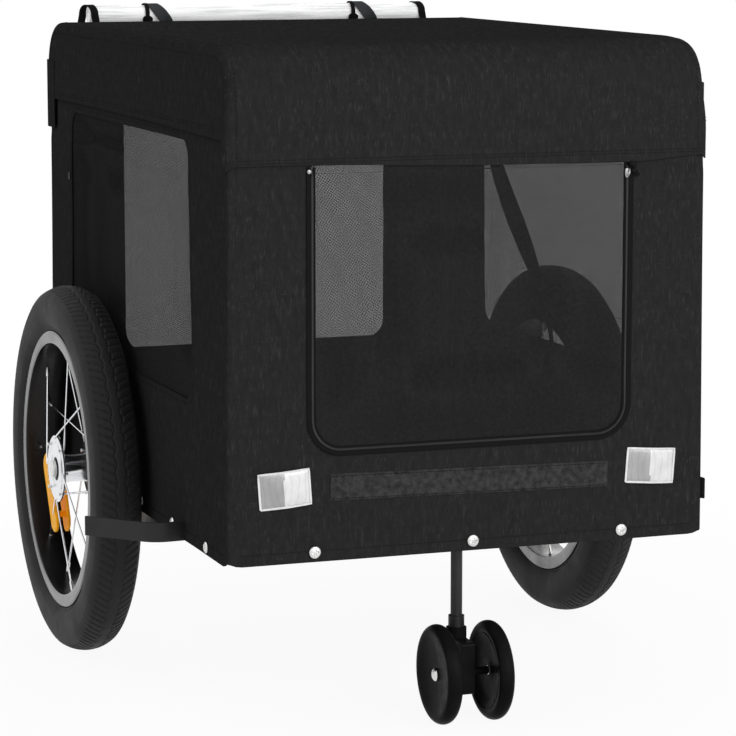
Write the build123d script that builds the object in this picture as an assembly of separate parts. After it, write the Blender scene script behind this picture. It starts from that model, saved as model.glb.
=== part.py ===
from build123d import *
import os
from math import cos, pi, sin

# Pet bike trailer: a fabric cabin on a tubular steel frame, with two 16 inch spoked
# wheels and a swivelling twin-wheel caster at the front. It is parked on all three.
# Frame: +Z up, -Y forward and +X to the trailer's own left. The origin is on the floor,
# at the middle of the whole length and width. All sizes are millimetres.

# ---- driving dimensions -------------------------------------------------------------
# cabin
CABIN_WIDTH = 508.0
CABIN_LENGTH = 698.0
CABIN_BOTTOM = 180.0
CABIN_TOP = 689.0
FABRIC = 2.0
LAYER_GAP = 0.4
SEWN_GAP = 0.1
CORNER_RADIUS = 47.0
FRONT_HEM_HEIGHT = 568.0
SIDE_HEM_HEIGHT = 599.0

# door and windows
DOOR_WIDTH = 338.0
DOOR_BOTTOM = 290.0
DOOR_CORNER_RADIUS = 32.0
DOOR_GAP = 2.5
DOOR_THICKNESS = 2.0
HINGE_DROP = 3.5
WINDOW_FRONT_INSET = 124.0
WINDOW_REAR_INSET = 100.0
WINDOW_BOTTOM = 328.0
WINDOW_TOP = 590.0
WINDOW_CORNER_RADIUS = 20.0
MESH_THICKNESS = 1.0
MESH_SEAM = 8.0
DOOR_HEAD_GAP = 7.5

# steel frame
RAIL_DIAMETER = 20.0
HOOP_DIAMETER = 16.0
ROOF_BAR_DIAMETER = 14.0
TUBE_WALL = 1.5
FRAME_GAP = 0.6
RAIL_BEND_RADIUS = 28.0
RAIL_LEG = 2.0
CROSS_MEMBER_POSITIONS = (190.0, 300.0)
FLOOR_THICKNESS = 6.0

# road wheels
WHEEL_DIAMETER = 406.0
TYRE_WIDTH = 52.0
TREAD_WIDTH = 36.0
TREAD_CROWN = 5.0
TYRE_LIP = 0.5
BEAD_GAP = 0.1
WHEEL_GAP = 11.0
AXLE_SETBACK = 462.0
RIM_DIAMETER = 307.0
RIM_WIDTH = 43.0
RIM_WALL = 2.3
RIM_DEPTH = 14.0
RIM_BED = 3.5
HUB_FLANGE_DIAMETER = 74.0
HUB_FLANGE_THICKNESS = 3.0
HUB_BARREL_DIAMETER = 33.0
AXLE_DIAMETER = 12.0
AXLE_NUT_DIAMETER = 20.0
AXLE_NUT_THICKNESS = 4.0
AXLE_NUT_GAP = 1.0
AXLE_BOSS_DIAMETER = 24.0
BOSS_GAP = 3.0
BEARING_GAP = 0.1
SPOKE_DIAMETER = 2.0
SPOKES_PER_FLANGE = 8
SPOKE_LEAN_STEPS = 1
SPOKE_RIM_OFFSET = 4.0

# wheel guards: bent flat bars ahead of the wheels
GUARD_HEIGHT = 20.0
GUARD_THICKNESS = 3.0
GUARD_SETBACK = 147.0
GUARD_REACH = 91.0
GUARD_SWEEP = 59.0
GUARD_BEND_RADIUS = 30.0
GUARD_KNEE_REACH = 34.6
GUARD_KNEE_RISE = 3.0
GUARD_SLOT_GAP = 1.5

# caster
CASTER_WHEEL_DIAMETER = 102.0
CASTER_WHEEL_WIDTH = 16.0
CASTER_WHEEL_SPACING = 56.0
CASTER_TREAD_CROWN = 7.0
CASTER_RIM_DEPTH = 19.0
CASTER_RECESS = 6.4
CASTER_DISH = 3.2
CASTER_TRAIL = 25.0
STEM_SETBACK = 39.0
STEM_DIAMETER = 12.0
STEM_COLLAR_DIAMETER = 16.5
SWIVEL_COLLAR_DIAMETER = 21.0
SWIVEL_HEIGHT = 93.0
STEM_COLLAR_LENGTH = 12.0
SWIVEL_COLLAR_LENGTH = 10.0
PIVOT_DIAMETER = 8.0
PIVOT_LENGTH = 22.0
CASTER_POST_WIDTH = 14.0
CASTER_POST_DEPTH = 18.0
CASTER_POST_DROP = 22.0
CASTER_ARM_DEPTH = 18.0
CASTER_ARM_SLOPE = 8.0
CASTER_EDGE_RADIUS = 3.5
SLEEVE_DIAMETER = 22.0
SLEEVE_DROP = 4.0
SLEEVE_WEB_INSET = 1.0

# tow arm socket under the floor
TOW_BORE = 19.4
TOW_SOCKET_DIAMETER = 24.0
TOW_SOCKET_LENGTH = 130.0
TOW_SOCKET_OFFSET = 180.0
TOW_SOCKET_LEAD = 15.0
TOW_SOCKET_NOTCH = 1.0

# rolled weather cover and its straps
ROLL_DIAMETER = 21.0
ROLL_LENGTH = 430.0
ROLL_INSET = 26.0
ROLL_OFFSET = -6.0
STRAP_SPACING = 258.0
STRAP_WIDTH = 25.0
STRAP_THICKNESS = 1.6

# trim sewn on the end walls
PATCH_WIDTH = 55.0
PATCH_HEIGHT = 38.0
PATCH_THICKNESS = 0.8
PATCH_SPACING = 394.0
PATCH_HEIGHT_ABOVE_HEM = 75.0
HOOK_STRIP_LENGTH = 299.0
HOOK_STRIP_WIDTH = 29.0
HOOK_STRIP_HEIGHT_ABOVE_HEM = 71.0

# ---- derived positions --------------------------------------------------------------
SKIRT_OUT = FABRIC + LAYER_GAP
CASTER_AXLE_SETBACK = STEM_SETBACK - CASTER_TRAIL
NOSE = CASTER_WHEEL_DIAMETER / 2 - CASTER_AXLE_SETBACK
FRONT = (NOSE - CABIN_LENGTH - SKIRT_OUT) / 2
REAR = FRONT + CABIN_LENGTH
HALF_WIDTH = CABIN_WIDTH / 2
WALL_TOP = CABIN_TOP - FABRIC - LAYER_GAP
WALL_CORNER_RADIUS = CORNER_RADIUS - FABRIC - LAYER_GAP
RAIL_HEIGHT = CABIN_BOTTOM + RAIL_DIAMETER / 2
RAIL_INSET = FABRIC + FRAME_GAP + RAIL_DIAMETER / 2
HOOP_TOP = WALL_TOP - HOOP_DIAMETER / 2 - LAYER_GAP
AXLE_Y = FRONT + AXLE_SETBACK
AXLE_HEIGHT = WHEEL_DIAMETER / 2
WHEEL_X = HALF_WIDTH + WHEEL_GAP + TYRE_WIDTH / 2
STEM_Y = FRONT + STEM_SETBACK
CASTER_AXLE_Y = FRONT + CASTER_AXLE_SETBACK
CASTER_AXLE_HEIGHT = CASTER_WHEEL_DIAMETER / 2
DOOR_TOP = FRONT_HEM_HEIGHT - HINGE_DROP
SIDES = {"left": 1, "right": -1}
OVERCUT = 10.0


# ---- helpers ------------------------------------------------------------------------
def rod(start, end, diameter):
    """A round bar from one point to another."""
    run = Vector(*end) - Vector(*start)
    bar = Cylinder(diameter / 2, run.length, align=(Align.CENTER, Align.CENTER, Align.MIN))
    return Plane(origin=start, z_dir=run) * bar


def tube(start, end, diameter):
    """A straight steel tube, open at both ends."""
    return rod(start, end, diameter) - rod(start, end, diameter - 2 * TUBE_WALL)


def swept(route, section):
    """A section carried along a route."""
    return sweep(Plane(origin=route @ 0, z_dir=route % 0) * section, path=route)


def tube_section(diameter):
    """The ring of steel that a tube shows when it is cut across."""
    return Circle(diameter / 2) - Circle(diameter / 2 - TUBE_WALL)


def block(x_range, y_range, z_range):
    """A box given by its limits."""
    size = [high - low for low, high in (x_range, y_range, z_range)]
    middle = [(high + low) / 2 for low, high in (x_range, y_range, z_range)]
    return Pos(*middle) * Box(*size)


def side_plane(y, z):
    """A vertical plane along the cabin, facing +X, with its own x towards +Y."""
    return Plane(origin=(0, y, z), x_dir=(0, 1, 0), z_dir=(1, 0, 0))


def side_profile(margin, bottom):
    """The cabin's outline from the side, rounded at its two top corners, facing +X."""
    top = WALL_TOP + margin
    outline = Rectangle(CABIN_LENGTH + 2 * margin, top - bottom)
    corners = outline.vertices().sort_by(Axis.Y)[-2:]
    outline = fillet(corners, WALL_CORNER_RADIUS + margin)
    return side_plane((FRONT + REAR) / 2, (top + bottom) / 2) * outline


def end_plane(y):
    """A vertical plane across the cabin, facing +Y, with its own x towards -X."""
    return Plane(origin=(0, y, 0), x_dir=(-1, 0, 0), z_dir=(0, 1, 0))


def door_outline(gap, top):
    """The end door, smaller than its opening by a gap, with rounded bottom corners."""
    bottom = DOOR_BOTTOM + gap
    outline = Rectangle(DOOR_WIDTH - 2 * gap, top - bottom)
    corners = outline.vertices().sort_by(Axis.Y)[:2]
    outline = fillet(corners, DOOR_CORNER_RADIUS - gap)
    return Pos(0, (top + bottom) / 2) * outline


def revolve_wheel(profile, x, y, z):
    """Turn an (axial, radial) profile about a wheel's axle."""
    turned = revolve(Plane.XZ * profile, Axis.X)
    return Pos(x, y, z) * turned


# ---- cabin fabric -------------------------------------------------------------------
def roof_cover():
    """The roof panel with the skirts that hang from its four edges."""
    outside = extrude(side_profile(SKIRT_OUT, CABIN_BOTTOM), HALF_WIDTH + SKIRT_OUT, both=True)
    bottom = CABIN_BOTTOM - OVERCUT
    inner_half = HALF_WIDTH + LAYER_GAP
    inside = extrude(side_profile(LAYER_GAP, bottom), inner_half, both=True)
    y_range = (FRONT - OVERCUT, REAR + OVERCUT)
    below_ends = block((-inner_half, inner_half), y_range, (bottom, FRONT_HEM_HEIGHT))
    outer_half = HALF_WIDTH + OVERCUT
    below_left = block((HALF_WIDTH, outer_half), y_range, (bottom, SIDE_HEM_HEIGHT))
    below_right = block((-outer_half, -HALF_WIDTH), y_range, (bottom, SIDE_HEM_HEIGHT))
    return outside - inside - below_ends - below_left - below_right


def side_wall(side):
    """A side wall with its window opening and the holes for the axle and the guard."""
    middle = side * (HALF_WIDTH - FABRIC / 2)
    panel = extrude(side_profile(0, CABIN_BOTTOM), FABRIC / 2, both=True)
    panel -= extrude(window_outline(0), OVERCUT, both=True)
    panel = Pos(middle, 0, 0) * panel
    hole_diameter = AXLE_BOSS_DIAMETER + 2 * FRAME_GAP
    panel -= axle_rod(middle - OVERCUT, middle + OVERCUT, hole_diameter)
    slot_half = GUARD_THICKNESS / 2 + GUARD_SLOT_GAP
    guard_y = FRONT + GUARD_SETBACK
    slot = block((middle - OVERCUT, middle + OVERCUT), (guard_y - slot_half, guard_y + slot_half),
                 (CABIN_BOTTOM - OVERCUT, RAIL_HEIGHT + GUARD_HEIGHT / 2 + FRAME_GAP))
    return panel - slot


def window_outline(margin):
    """A side window facing +X, larger than its opening by a margin."""
    front = FRONT + WINDOW_FRONT_INSET
    rear = REAR - WINDOW_REAR_INSET
    outline = RectangleRounded(rear - front + 2 * margin, WINDOW_TOP - WINDOW_BOTTOM + 2 * margin,
                               WINDOW_CORNER_RADIUS + margin)
    return side_plane((front + rear) / 2, (WINDOW_TOP + WINDOW_BOTTOM) / 2) * outline


def side_window(side):
    """The mesh sewn behind a side opening."""
    mesh = extrude(window_outline(MESH_SEAM), MESH_THICKNESS / 2, both=True)
    return Pos(side * (HALF_WIDTH - FABRIC - SEWN_GAP - MESH_THICKNESS / 2), 0, 0) * mesh


def end_wall(outer_y, inward):
    """The front or rear wall, with the door opening cut out of it."""
    half = HALF_WIDTH - FABRIC - SEWN_GAP
    top = WALL_TOP - WALL_CORNER_RADIUS
    panel = block((-half, half), sorted((outer_y, outer_y + inward * FABRIC)), (CABIN_BOTTOM, top))
    opening = end_plane(outer_y) * door_outline(0, DOOR_TOP + DOOR_HEAD_GAP)
    return panel - extrude(opening, OVERCUT, both=True)


def end_door(outer_y, inward):
    """The mesh door, closed by a zip at its sides and bottom and sewn along its top."""
    plane = end_plane(outer_y + inward * DOOR_THICKNESS / 2)
    return extrude(plane * door_outline(DOOR_GAP, DOOR_TOP), DOOR_THICKNESS / 2, both=True)


def patches(outer_y, outward):
    """The two reflective patches on an end wall."""
    low = outer_y + outward * SEWN_GAP
    y_range = sorted((low, low + outward * PATCH_THICKNESS))
    middle = CABIN_BOTTOM + PATCH_HEIGHT_ABOVE_HEM
    z_range = (middle - PATCH_HEIGHT / 2, middle + PATCH_HEIGHT / 2)
    pair = [
        block((x - PATCH_WIDTH / 2, x + PATCH_WIDTH / 2), y_range, z_range)
        for x in (-PATCH_SPACING / 2, PATCH_SPACING / 2)
    ]
    return Compound(children=pair)


def hook_strip(outer_y, outward):
    """The hook-and-loop strip below a door, which holds the weather cover down."""
    low = outer_y + outward * SEWN_GAP
    y_range = sorted((low, low + outward * PATCH_THICKNESS))
    middle = CABIN_BOTTOM + HOOK_STRIP_HEIGHT_ABOVE_HEM
    z_range = (middle - HOOK_STRIP_WIDTH / 2, middle + HOOK_STRIP_WIDTH / 2)
    return block((-HOOK_STRIP_LENGTH / 2, HOOK_STRIP_LENGTH / 2), y_range, z_range)


# ---- steel frame --------------------------------------------------------------------
SIDE_RAIL_X = HALF_WIDTH - RAIL_INSET
END_RAIL_YS = {"front": FRONT + RAIL_INSET, "rear": REAR - RAIL_INSET}
RAIL_TURN = RAIL_BEND_RADIUS + RAIL_LEG


def side_rail(side):
    """A straight tube along the bottom of one side, notched round the axle boss."""
    x = side * SIDE_RAIL_X
    start = (x, END_RAIL_YS["front"] + RAIL_TURN, RAIL_HEIGHT)
    end = (x, END_RAIL_YS["rear"] - RAIL_TURN, RAIL_HEIGHT)
    return tube(start, end, RAIL_DIAMETER) - axle_boss_envelope(side)


def end_rail_route(y, inward):
    """The centre line of an end rail, which turns both corners to meet the side rails."""
    y_leg = y + inward * RAIL_TURN
    corners = ((-SIDE_RAIL_X, y_leg), (-SIDE_RAIL_X, y), (SIDE_RAIL_X, y), (SIDE_RAIL_X, y_leg))
    points = [(x, y, RAIL_HEIGHT) for x, y in corners]
    return FilletPolyline(*points, radius=RAIL_BEND_RADIUS)


def end_rail(y, inward):
    """The bent tube across one end of the frame."""
    return swept(end_rail_route(y, inward), tube_section(RAIL_DIAMETER))


def end_rail_envelope(y, inward):
    """The filled outline of an end rail, for coping other tubes to it."""
    return swept(end_rail_route(y, inward), Circle(RAIL_DIAMETER / 2))


def cross_member(y):
    """A tube between the side rails, coped to fit them."""
    member = tube((-SIDE_RAIL_X, y, RAIL_HEIGHT), (SIDE_RAIL_X, y, RAIL_HEIGHT), RAIL_DIAMETER)
    for side in SIDES.values():
        x = side * SIDE_RAIL_X
        start = (x, y - RAIL_DIAMETER, RAIL_HEIGHT)
        member -= rod(start, (x, y + RAIL_DIAMETER, RAIL_HEIGHT), RAIL_DIAMETER)
        member -= axle_boss_envelope(side)
    return member


def side_hoop(side):
    """The inverted U of tube that holds up one side wall, coped onto the side rail."""
    x = side * SIDE_RAIL_X
    front = FRONT + FABRIC + FRAME_GAP + HOOP_DIAMETER / 2
    rear = REAR - FABRIC - FRAME_GAP - HOOP_DIAMETER / 2
    corners = ((front, RAIL_HEIGHT), (front, HOOP_TOP), (rear, HOOP_TOP), (rear, RAIL_HEIGHT))
    route = FilletPolyline(*[(x, y, z) for y, z in corners],
                           radius=WALL_CORNER_RADIUS - HOOP_DIAMETER / 2 - FABRIC)
    hoop = swept(route, tube_section(HOOP_DIAMETER))
    for y, inward in ((END_RAIL_YS["front"], 1), (END_RAIL_YS["rear"], -1)):
        hoop -= end_rail_envelope(y, inward)
    return hoop


def roof_bar(y):
    """A tube across the top between the hoops, coped to fit them."""
    bar = tube((-SIDE_RAIL_X, y, HOOP_TOP), (SIDE_RAIL_X, y, HOOP_TOP), ROOF_BAR_DIAMETER)
    for x in (-SIDE_RAIL_X, SIDE_RAIL_X):
        bar -= rod((x, y - HOOP_DIAMETER, HOOP_TOP), (x, y + HOOP_DIAMETER, HOOP_TOP), HOOP_DIAMETER)
    return bar


def floor_board():
    """The floor of the cabin, resting on the cross members."""
    half = SIDE_RAIL_X - RAIL_DIAMETER / 2 - FRAME_GAP
    bottom = CABIN_BOTTOM + RAIL_DIAMETER + FRAME_GAP / 2
    end_gap = RAIL_INSET + RAIL_DIAMETER / 2 + FRAME_GAP
    return block((-half, half), (FRONT + end_gap, REAR - end_gap), (bottom, bottom + FLOOR_THICKNESS))


# ---- axles and road wheels ----------------------------------------------------------
def axle_rod(start_x, end_x, diameter):
    """A round bar on the line of the wheels' axles."""
    return rod((start_x, AXLE_Y, AXLE_HEIGHT), (end_x, AXLE_Y, AXLE_HEIGHT), diameter)


def axle_boss_envelope(side):
    """The space taken by the boss that carries a wheel's axle."""
    inner = SIDE_RAIL_X - RAIL_DIAMETER / 2
    outer = WHEEL_X - RIM_WIDTH / 2 - BOSS_GAP
    return axle_rod(side * inner, side * outer, AXLE_BOSS_DIAMETER)


def axle_boss(side):
    """The boss welded through the side rail, bored for the axle."""
    inner = SIDE_RAIL_X - RAIL_DIAMETER / 2 - OVERCUT
    return axle_boss_envelope(side) - axle_rod(side * inner, side * WHEEL_X, AXLE_DIAMETER)


def axle(side):
    """A fixed stub axle with the nut that keeps the wheel on."""
    inner = SIDE_RAIL_X - RAIL_DIAMETER / 2
    seat = WHEEL_X + RIM_WIDTH / 2 + AXLE_NUT_GAP
    end = seat + AXLE_NUT_THICKNESS
    nut = axle_rod(side * seat, side * end, AXLE_NUT_DIAMETER)
    return axle_rod(side * inner, side * end, AXLE_DIAMETER) + nut


def tyre(x):
    """A solid ring with a rounded tread, seated between the rim's walls."""
    bead = RIM_WIDTH / 2 - RIM_WALL - BEAD_GAP
    bead_radius = RIM_DIAMETER / 2 - RIM_DEPTH + RIM_BED + BEAD_GAP
    lip_radius = RIM_DIAMETER / 2 + TYRE_LIP
    shoulder_radius = WHEEL_DIAMETER / 2 - TREAD_CROWN
    belly_radius = (lip_radius + shoulder_radius) / 2
    tread = TREAD_WIDTH / 2
    profile = make_face([
        Line((-bead, bead_radius), (-bead, lip_radius)),
        ThreePointArc((-bead, lip_radius), (-TYRE_WIDTH / 2, belly_radius), (-tread, shoulder_radius)),
        ThreePointArc((-tread, shoulder_radius), (0, WHEEL_DIAMETER / 2), (tread, shoulder_radius)),
        ThreePointArc((tread, shoulder_radius), (TYRE_WIDTH / 2, belly_radius), (bead, lip_radius)),
        Line((bead, lip_radius), (bead, bead_radius)),
        Line((bead, bead_radius), (-bead, bead_radius)),
    ])
    return revolve_wheel(profile, x, AXLE_Y, AXLE_HEIGHT)


def rim(x):
    """A channel-section rim, open towards the tyre."""
    outer = RIM_DIAMETER / 2
    well_depth = RIM_DEPTH - RIM_BED
    channel = Pos(0, outer - RIM_DEPTH / 2) * Rectangle(RIM_WIDTH, RIM_DEPTH)
    well = Pos(0, outer - well_depth / 2) * Rectangle(RIM_WIDTH - 2 * RIM_WALL, well_depth)
    return revolve_wheel(channel - well, x, AXLE_Y, AXLE_HEIGHT)


def hub(x):
    """A barrel with two spoke flanges, running on the axle."""
    half = RIM_WIDTH / 2
    bore = AXLE_DIAMETER / 2 + BEARING_GAP
    barrel_wall = HUB_BARREL_DIAMETER / 2 - bore
    profile = Pos(0, bore + barrel_wall / 2) * Rectangle(2 * half, barrel_wall)
    height = HUB_FLANGE_DIAMETER / 2 - bore
    for end in (-1, 1):
        middle = end * (half - HUB_FLANGE_THICKNESS / 2)
        profile += Pos(middle, bore + height / 2) * Rectangle(HUB_FLANGE_THICKNESS, height)
    return revolve_wheel(profile, x, AXLE_Y, AXLE_HEIGHT)


def polar(x, radius, angle):
    """A point in a wheel's own frame, at an angle about the axle."""
    return (x, radius * cos(angle), radius * sin(angle))


SPOKE_HUB_RADIUS = HUB_FLANGE_DIAMETER / 2 - SPOKE_DIAMETER
SPOKE_RIM_RADIUS = RIM_DIAMETER / 2 - RIM_DEPTH + RIM_BED / 2


def spoke_ends():
    """Both ends of every spoke about the wheel's centre. Each flange has leading spokes
    on its outer face and trailing ones on its inner face, which cross without touching."""
    ends = []
    step = 2 * pi / SPOKES_PER_FLANGE
    lean = SPOKE_LEAN_STEPS * step
    for flange in (-1, 1):
        start_angle = 0 if flange < 0 else step / 2
        for index in range(SPOKES_PER_FLANGE):
            at_hub = start_angle + index * step
            if index % 2 == 0:
                offset = RIM_WIDTH / 2 + SPOKE_DIAMETER / 2
                at_rim = at_hub + lean
            else:
                offset = RIM_WIDTH / 2 - HUB_FLANGE_THICKNESS - SPOKE_DIAMETER / 2
                at_rim = at_hub - lean
            ends.append((polar(flange * offset, SPOKE_HUB_RADIUS, at_hub),
                         polar(flange * SPOKE_RIM_OFFSET, SPOKE_RIM_RADIUS, at_rim)))
    return ends


def spokes(x):
    """All the spokes of one wheel, each seated on the hub's flange and against the rim."""
    seats = hub(x) + rim(x)
    place = Pos(x, AXLE_Y, AXLE_HEIGHT)
    bars = [place * rod(start, end, SPOKE_DIAMETER) - seats for start, end in spoke_ends()]
    return Compound(children=[max(bar.solids(), key=lambda solid: solid.volume) for bar in bars])


# ---- guards -------------------------------------------------------------------------
def wheel_guard(side):
    """A flat bar that stands out from the side rail ahead of a wheel."""
    start_y = FRONT + GUARD_SETBACK
    points = [
        (side * (SIDE_RAIL_X + RAIL_DIAMETER / 4), start_y),
        (side * (HALF_WIDTH + GUARD_KNEE_REACH), start_y - GUARD_KNEE_RISE),
        (side * (HALF_WIDTH + GUARD_REACH), start_y + GUARD_SWEEP),
    ]
    route = FilletPolyline(*points, radius=GUARD_BEND_RADIUS)
    plane = Plane(origin=route @ 0, x_dir=(0, 0, 1), z_dir=route % 0)
    bar = sweep(plane * Rectangle(GUARD_HEIGHT, GUARD_THICKNESS), path=route)
    x = side * SIDE_RAIL_X
    rail_front = (x, start_y - RAIL_DIAMETER, RAIL_HEIGHT)
    rail_rear = (x, start_y + RAIL_DIAMETER, RAIL_HEIGHT)
    return Pos(0, 0, RAIL_HEIGHT) * bar - rod(rail_front, rail_rear, RAIL_DIAMETER)


# ---- caster -------------------------------------------------------------------------
COLLAR_TOP = SWIVEL_HEIGHT + STEM_COLLAR_LENGTH
SLEEVE_BOTTOM = CABIN_BOTTOM - SLEEVE_DROP
SLEEVE_TOP = CABIN_BOTTOM + RAIL_DIAMETER


def stem_sleeve():
    """The sleeve that holds the caster's stem, with the web that joins it to the front rail."""
    outside = rod((0, STEM_Y, SLEEVE_BOTTOM), (0, STEM_Y, SLEEVE_TOP), SLEEVE_DIAMETER)
    web_half = SLEEVE_DIAMETER / 2 - SLEEVE_WEB_INSET
    web = block((-web_half, web_half), (END_RAIL_YS["front"], STEM_Y),
                (CABIN_BOTTOM + SLEEVE_WEB_INSET, SLEEVE_TOP - SLEEVE_WEB_INSET))
    bore = rod((0, STEM_Y, SLEEVE_BOTTOM - OVERCUT), (0, STEM_Y, SLEEVE_TOP + OVERCUT), STEM_DIAMETER)
    return outside + web - bore - end_rail_envelope(END_RAIL_YS["front"], 1)


def caster_stem():
    """The fixed stem, its collar, and the pin that the caster swivels on."""
    stem = rod((0, STEM_Y, COLLAR_TOP), (0, STEM_Y, SLEEVE_TOP), STEM_DIAMETER)
    collar = rod((0, STEM_Y, SWIVEL_HEIGHT), (0, STEM_Y, COLLAR_TOP), STEM_COLLAR_DIAMETER)
    pin = rod((0, STEM_Y, SWIVEL_HEIGHT - PIVOT_LENGTH), (0, STEM_Y, SWIVEL_HEIGHT), PIVOT_DIAMETER)
    return stem + collar + pin


def caster_axle_rod(reach, diameter):
    """A round bar on the caster wheels' axle, as long on both sides of the middle."""
    return rod((-reach, CASTER_AXLE_Y, CASTER_AXLE_HEIGHT),
               (reach, CASTER_AXLE_Y, CASTER_AXLE_HEIGHT), diameter)


def caster_housing():
    """The swivelling housing: a collar, an arm, and a post that carries the axle."""
    top = SWIVEL_HEIGHT - 2 * BEARING_GAP
    arm_top = top - SWIVEL_COLLAR_LENGTH
    collar = rod((0, STEM_Y, arm_top - CASTER_EDGE_RADIUS), (0, STEM_Y, top), SWIVEL_COLLAR_DIAMETER)
    post_front = CASTER_AXLE_Y - CASTER_POST_DEPTH / 2
    post_rear = post_front + CASTER_POST_DEPTH
    post_bottom = CASTER_AXLE_HEIGHT - CASTER_POST_DROP
    arm_rear = STEM_Y + SWIVEL_COLLAR_DIAMETER / 2
    arm_bottom = arm_top - CASTER_ARM_DEPTH
    with BuildSketch(Plane.YZ) as side:
        with BuildLine():
            Polyline((post_front, post_bottom), (post_front, arm_top), (arm_rear, arm_top),
                     (arm_rear, arm_bottom), (post_rear, arm_bottom - CASTER_ARM_SLOPE),
                     (post_rear, post_bottom), close=True)
        make_face()
        fillet(side.vertices(), CASTER_EDGE_RADIUS)
    body = extrude(side.sketch, CASTER_POST_WIDTH / 2, both=True)
    bore_diameter = PIVOT_DIAMETER + 2 * BEARING_GAP
    pivot_bore = rod((0, STEM_Y, SWIVEL_HEIGHT - PIVOT_LENGTH - BEARING_GAP),
                     (0, STEM_Y, SWIVEL_HEIGHT + OVERCUT), bore_diameter)
    axle_bore = caster_axle_rod(CASTER_POST_WIDTH / 2 + OVERCUT, bore_diameter)
    return body + collar - pivot_bore - axle_bore


def caster_wheel(side):
    """A dished wheel with a rounded rim, pressed on the end of the caster's axle."""
    half = CASTER_WHEEL_WIDTH / 2
    hub_radius = PIVOT_DIAMETER / 2
    tread_radius = CASTER_WHEEL_DIAMETER / 2
    edge_radius = tread_radius - CASTER_TREAD_CROWN
    recess_radius = tread_radius - CASTER_RIM_DEPTH
    web = -half + CASTER_RECESS
    face = half - CASTER_DISH
    recess_middle = (-half + CASTER_RECESS / 4, (recess_radius + 2 * edge_radius) / 3)
    dish_middle = (half - CASTER_DISH / 4, tread_radius / 2)
    profile = make_face([
        Line((web, hub_radius), (web, recess_radius)),
        ThreePointArc((web, recess_radius), recess_middle, (-half, edge_radius)),
        ThreePointArc((-half, edge_radius), (0, tread_radius), (half, edge_radius)),
        ThreePointArc((half, edge_radius), dish_middle, (face, hub_radius)),
        Line((face, hub_radius), (web, hub_radius)),
    ])
    wheel = revolve(Plane.XZ * profile, Axis.X)
    if side < 0:
        wheel = mirror(wheel, Plane.YZ)
    return Pos(side * CASTER_WHEEL_SPACING / 2, CASTER_AXLE_Y, CASTER_AXLE_HEIGHT) * wheel


def caster_axle():
    """The axle that joins the two caster wheels and ends flush with their faces."""
    reach = CASTER_WHEEL_SPACING / 2 + CASTER_WHEEL_WIDTH / 2 - CASTER_DISH
    return caster_axle_rod(reach, PIVOT_DIAMETER)


# ---- tow arm socket -----------------------------------------------------------------
TOW_AXIS_HEIGHT = CABIN_BOTTOM - TOW_SOCKET_DIAMETER / 2 + TOW_SOCKET_NOTCH
TOW_SOCKET_FRONT = FRONT + CROSS_MEMBER_POSITIONS[0] - TOW_SOCKET_LEAD


def tow_socket():
    """The tube welded under two cross members, open at the front for the tow arm."""
    start = (TOW_SOCKET_OFFSET, TOW_SOCKET_FRONT, TOW_AXIS_HEIGHT)
    end = (TOW_SOCKET_OFFSET, TOW_SOCKET_FRONT + TOW_SOCKET_LENGTH, TOW_AXIS_HEIGHT)
    socket = rod(start, end, TOW_SOCKET_DIAMETER) - rod(start, end, TOW_BORE)
    for position in CROSS_MEMBER_POSITIONS:
        y = FRONT + position
        socket -= rod((-SIDE_RAIL_X, y, RAIL_HEIGHT), (SIDE_RAIL_X, y, RAIL_HEIGHT), RAIL_DIAMETER)
    return socket


# ---- weather cover ------------------------------------------------------------------
ROOF_BEND_Y = REAR + SKIRT_OUT - CORNER_RADIUS
ROOF_BEND_HEIGHT = CABIN_TOP - CORNER_RADIUS


def roll_centre():
    """Position and height of the rolled cover, which rests on the roof's rear bend."""
    y = REAR - ROLL_INSET
    reach = CORNER_RADIUS + ROLL_DIAMETER / 2 + LAYER_GAP
    return y, ROOF_BEND_HEIGHT + (reach ** 2 - (y - ROOF_BEND_Y) ** 2) ** 0.5


def weather_cover():
    """The clear cover, rolled up and tied at the top of the rear end."""
    y, z = roll_centre()
    half = ROLL_LENGTH / 2
    return rod((ROLL_OFFSET - half, y, z), (ROLL_OFFSET + half, y, z), ROLL_DIAMETER)


def cover_straps():
    """The two webbing straps that go round the roll."""
    y, z = roll_centre()
    inner = ROLL_DIAMETER / 2 + SEWN_GAP
    ring = Cylinder(inner + STRAP_THICKNESS, STRAP_WIDTH) - Cylinder(inner, STRAP_WIDTH)
    roof_bend = rod((-HALF_WIDTH, ROOF_BEND_Y, ROOF_BEND_HEIGHT),
                    (HALF_WIDTH, ROOF_BEND_Y, ROOF_BEND_HEIGHT), 2 * (CORNER_RADIUS + SEWN_GAP))
    planes = [
        Plane(origin=(x, y, z), z_dir=(1, 0, 0)) for x in (-STRAP_SPACING / 2, STRAP_SPACING / 2)
    ]
    return Compound(children=[plane * ring - roof_bend for plane in planes])


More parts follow.
